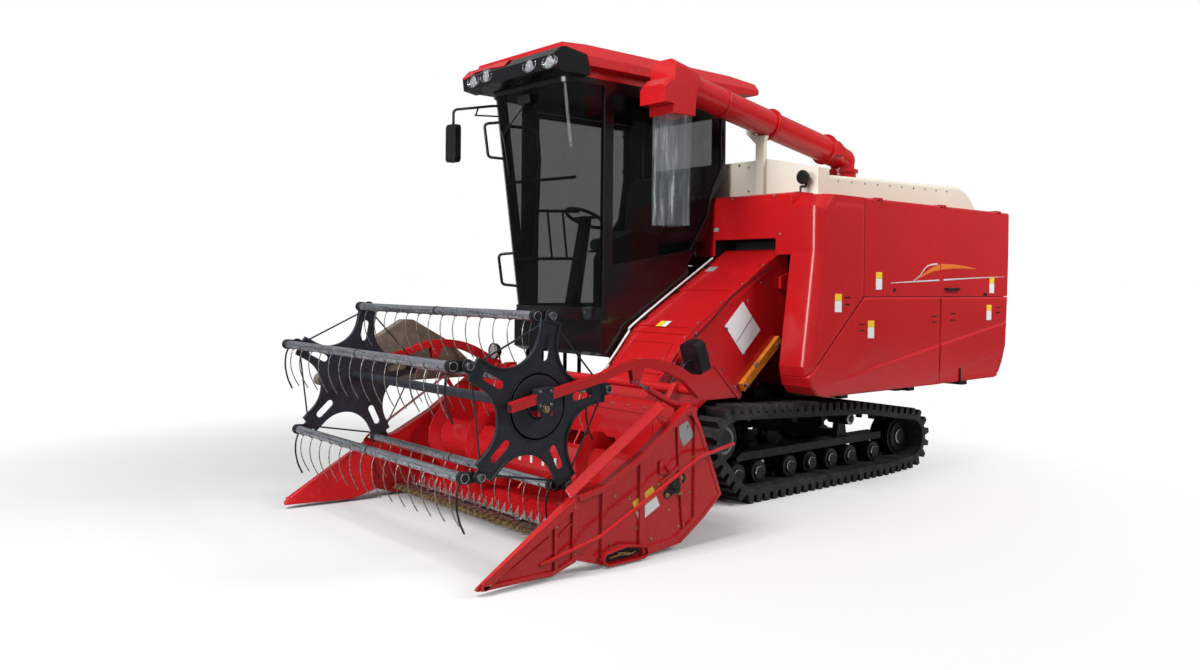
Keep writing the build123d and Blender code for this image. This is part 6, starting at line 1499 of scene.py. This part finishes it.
# ------------------------------------------------------------------ add-on
class HarvesterSettings(PropertyGroup):
    """Sizes and tones that the pieces share."""

    red: FloatVectorProperty(name="Red", description="Colour of the sprayed sheet", subtype="COLOR",
                             default=(0.47, 0.008, 0.011), min=0.0, max=1.0)
    cream: FloatVectorProperty(name="Cream", description="Colour of the grain tank", subtype="COLOR",
                               default=(0.66, 0.62, 0.52), min=0.0, max=1.0)
    dust: FloatProperty(name="Dust", description="How much road dust lies on low surfaces", default=0.05,
                        min=0.0, max=1.0, subtype="FACTOR")
    tines: IntProperty(name="Tines", description="Spring tines on each bat", default=14, min=2, max=14)
    guards: IntProperty(name="Guards", description="Guards of the knife", default=31, min=2, max=31)


class DressingStep:
    """What the steps share: each runs its makers, one after another."""

    makers = ()

    def execute(self, context):
        for make in self.makers:
            make()
        return {"FINISHED"}


class HARVESTER_OT_finishes(Operator):
    """Make every material and dress the frame's nodes in them."""

    bl_idname = "harvester.finishes"
    bl_label = "Finishes"

    def execute(self, context):
        settings = context.scene.harvester
        make_finishes(tuple(settings.red), tuple(settings.cream), settings.dust)
        dress_nodes()
        return {"FINISHED"}


class HARVESTER_OT_reel(Operator):
    """Bats, tines, clamps and hubs of the reel."""

    bl_idname = "harvester.reel"
    bl_label = "Reel"

    def execute(self, context):
        bat_pieces(context.scene.harvester.tines)
        shaft_pieces()
        return {"FINISHED"}


class HARVESTER_OT_cutter(Operator):
    """Guards, clips and toothed strip of the cutter bar."""

    bl_idname = "harvester.cutter"
    bl_label = "Cutter bar"

    def execute(self, context):
        cutter_pieces(context.scene.harvester.guards)
        return {"FINISHED"}


class HARVESTER_OT_header(DressingStep, Operator):
    """Sides, dividers, hatch, bearings, plates, trough and lamp of the header."""

    bl_idname = "harvester.header"
    bl_label = "Header"
    makers = (header_side, divider_rims, drive_hatch, auger_bearing, header_plates, trough_pieces,
              header_lamp)


class HARVESTER_OT_feeder(DressingStep, Operator):
    """Rims, flank, bolts, lines and plates of the feeder housing."""

    bl_idname = "harvester.feeder"
    bl_label = "Feeder"
    makers = (feeder_rims, feeder_flank, feeder_bolts, feeder_lines, feeder_plates)


class HARVESTER_OT_covers(DressingStep, Operator):
    """Skins, stripes, slots, plates and handles of the covers, and the front of the hood."""

    bl_idname = "harvester.covers"
    bl_label = "Covers"
    makers = (cover_pieces, hood_pieces)


class HARVESTER_OT_cab(DressingStep, Operator):
    """Rails, wiper and lamps of the cab."""

    bl_idname = "harvester.cab"
    bl_label = "Cab"
    makers = (cab_pieces,)


class HARVESTER_OT_seat(DressingStep, Operator):
    """Cushions, shell and post of the driver's seat."""

    bl_idname = "harvester.seat"
    bl_label = "Seat"
    makers = (seat_pieces,)


class HARVESTER_OT_unloader(DressingStep, Operator):
    """Flanges of the tube and the film sleeve under its spout."""

    bl_idname = "harvester.unloader"
    bl_label = "Unloading tube"
    makers = (flange_pieces, sleeve_piece)


class HARVESTER_OT_tracks(DressingStep, Operator):
    """Caps of the rollers and hubs."""

    bl_idname = "harvester.tracks"
    bl_label = "Tracks"
    makers = (track_pieces,)


class HARVESTER_OT_rear(DressingStep, Operator):
    """Lamps, plates, folds and bolts of the rear, the right side and the tank."""

    bl_idname = "harvester.rear"
    bl_label = "Rear and tank"
    makers = (rear_pieces, tank_pieces)


class HARVESTER_OT_studio(DressingStep, Operator):
    """Set the camera, the floor, the world and the lamps."""

    bl_idname = "harvester.studio"
    bl_label = "Studio"
    makers = (place_camera, pale_floor, white_world, studio_lamps)


class HARVESTER_PT_sidebar(Panel):
    """Steps of the dressing, in order."""

    bl_label = "Harvester"
    bl_idname = "HARVESTER_PT_sidebar"
    bl_space_type = "VIEW_3D"
    bl_region_type = "UI"
    bl_category = "Harvester"

    def draw(self, context):
        settings = context.scene.harvester
        for name in HarvesterSettings.__annotations__:
            self.layout.prop(settings, name)
        for step in STEPS:
            self.layout.operator(step.bl_idname)


STEPS = (HARVESTER_OT_finishes, HARVESTER_OT_reel, HARVESTER_OT_cutter, HARVESTER_OT_header,
         HARVESTER_OT_feeder, HARVESTER_OT_covers, HARVESTER_OT_cab, HARVESTER_OT_seat,
         HARVESTER_OT_unloader, HARVESTER_OT_tracks, HARVESTER_OT_rear, HARVESTER_OT_studio)
CLASSES = (HarvesterSettings, *STEPS, HARVESTER_PT_sidebar)


def register():
    for cls in CLASSES:
        bpy.utils.register_class(cls)
    bpy.types.Scene.harvester = PointerProperty(type=HarvesterSettings)


def unregister():
    del bpy.types.Scene.harvester
    for cls in reversed(CLASSES):
        bpy.utils.unregister_class(cls)


def main():
    register()
    for step in STEPS:
        area, name = step.bl_idname.split(".")
        getattr(getattr(bpy.ops, area), name)()
    bpy.context.view_layer.update()


if __name__ == "__main__":
    main()
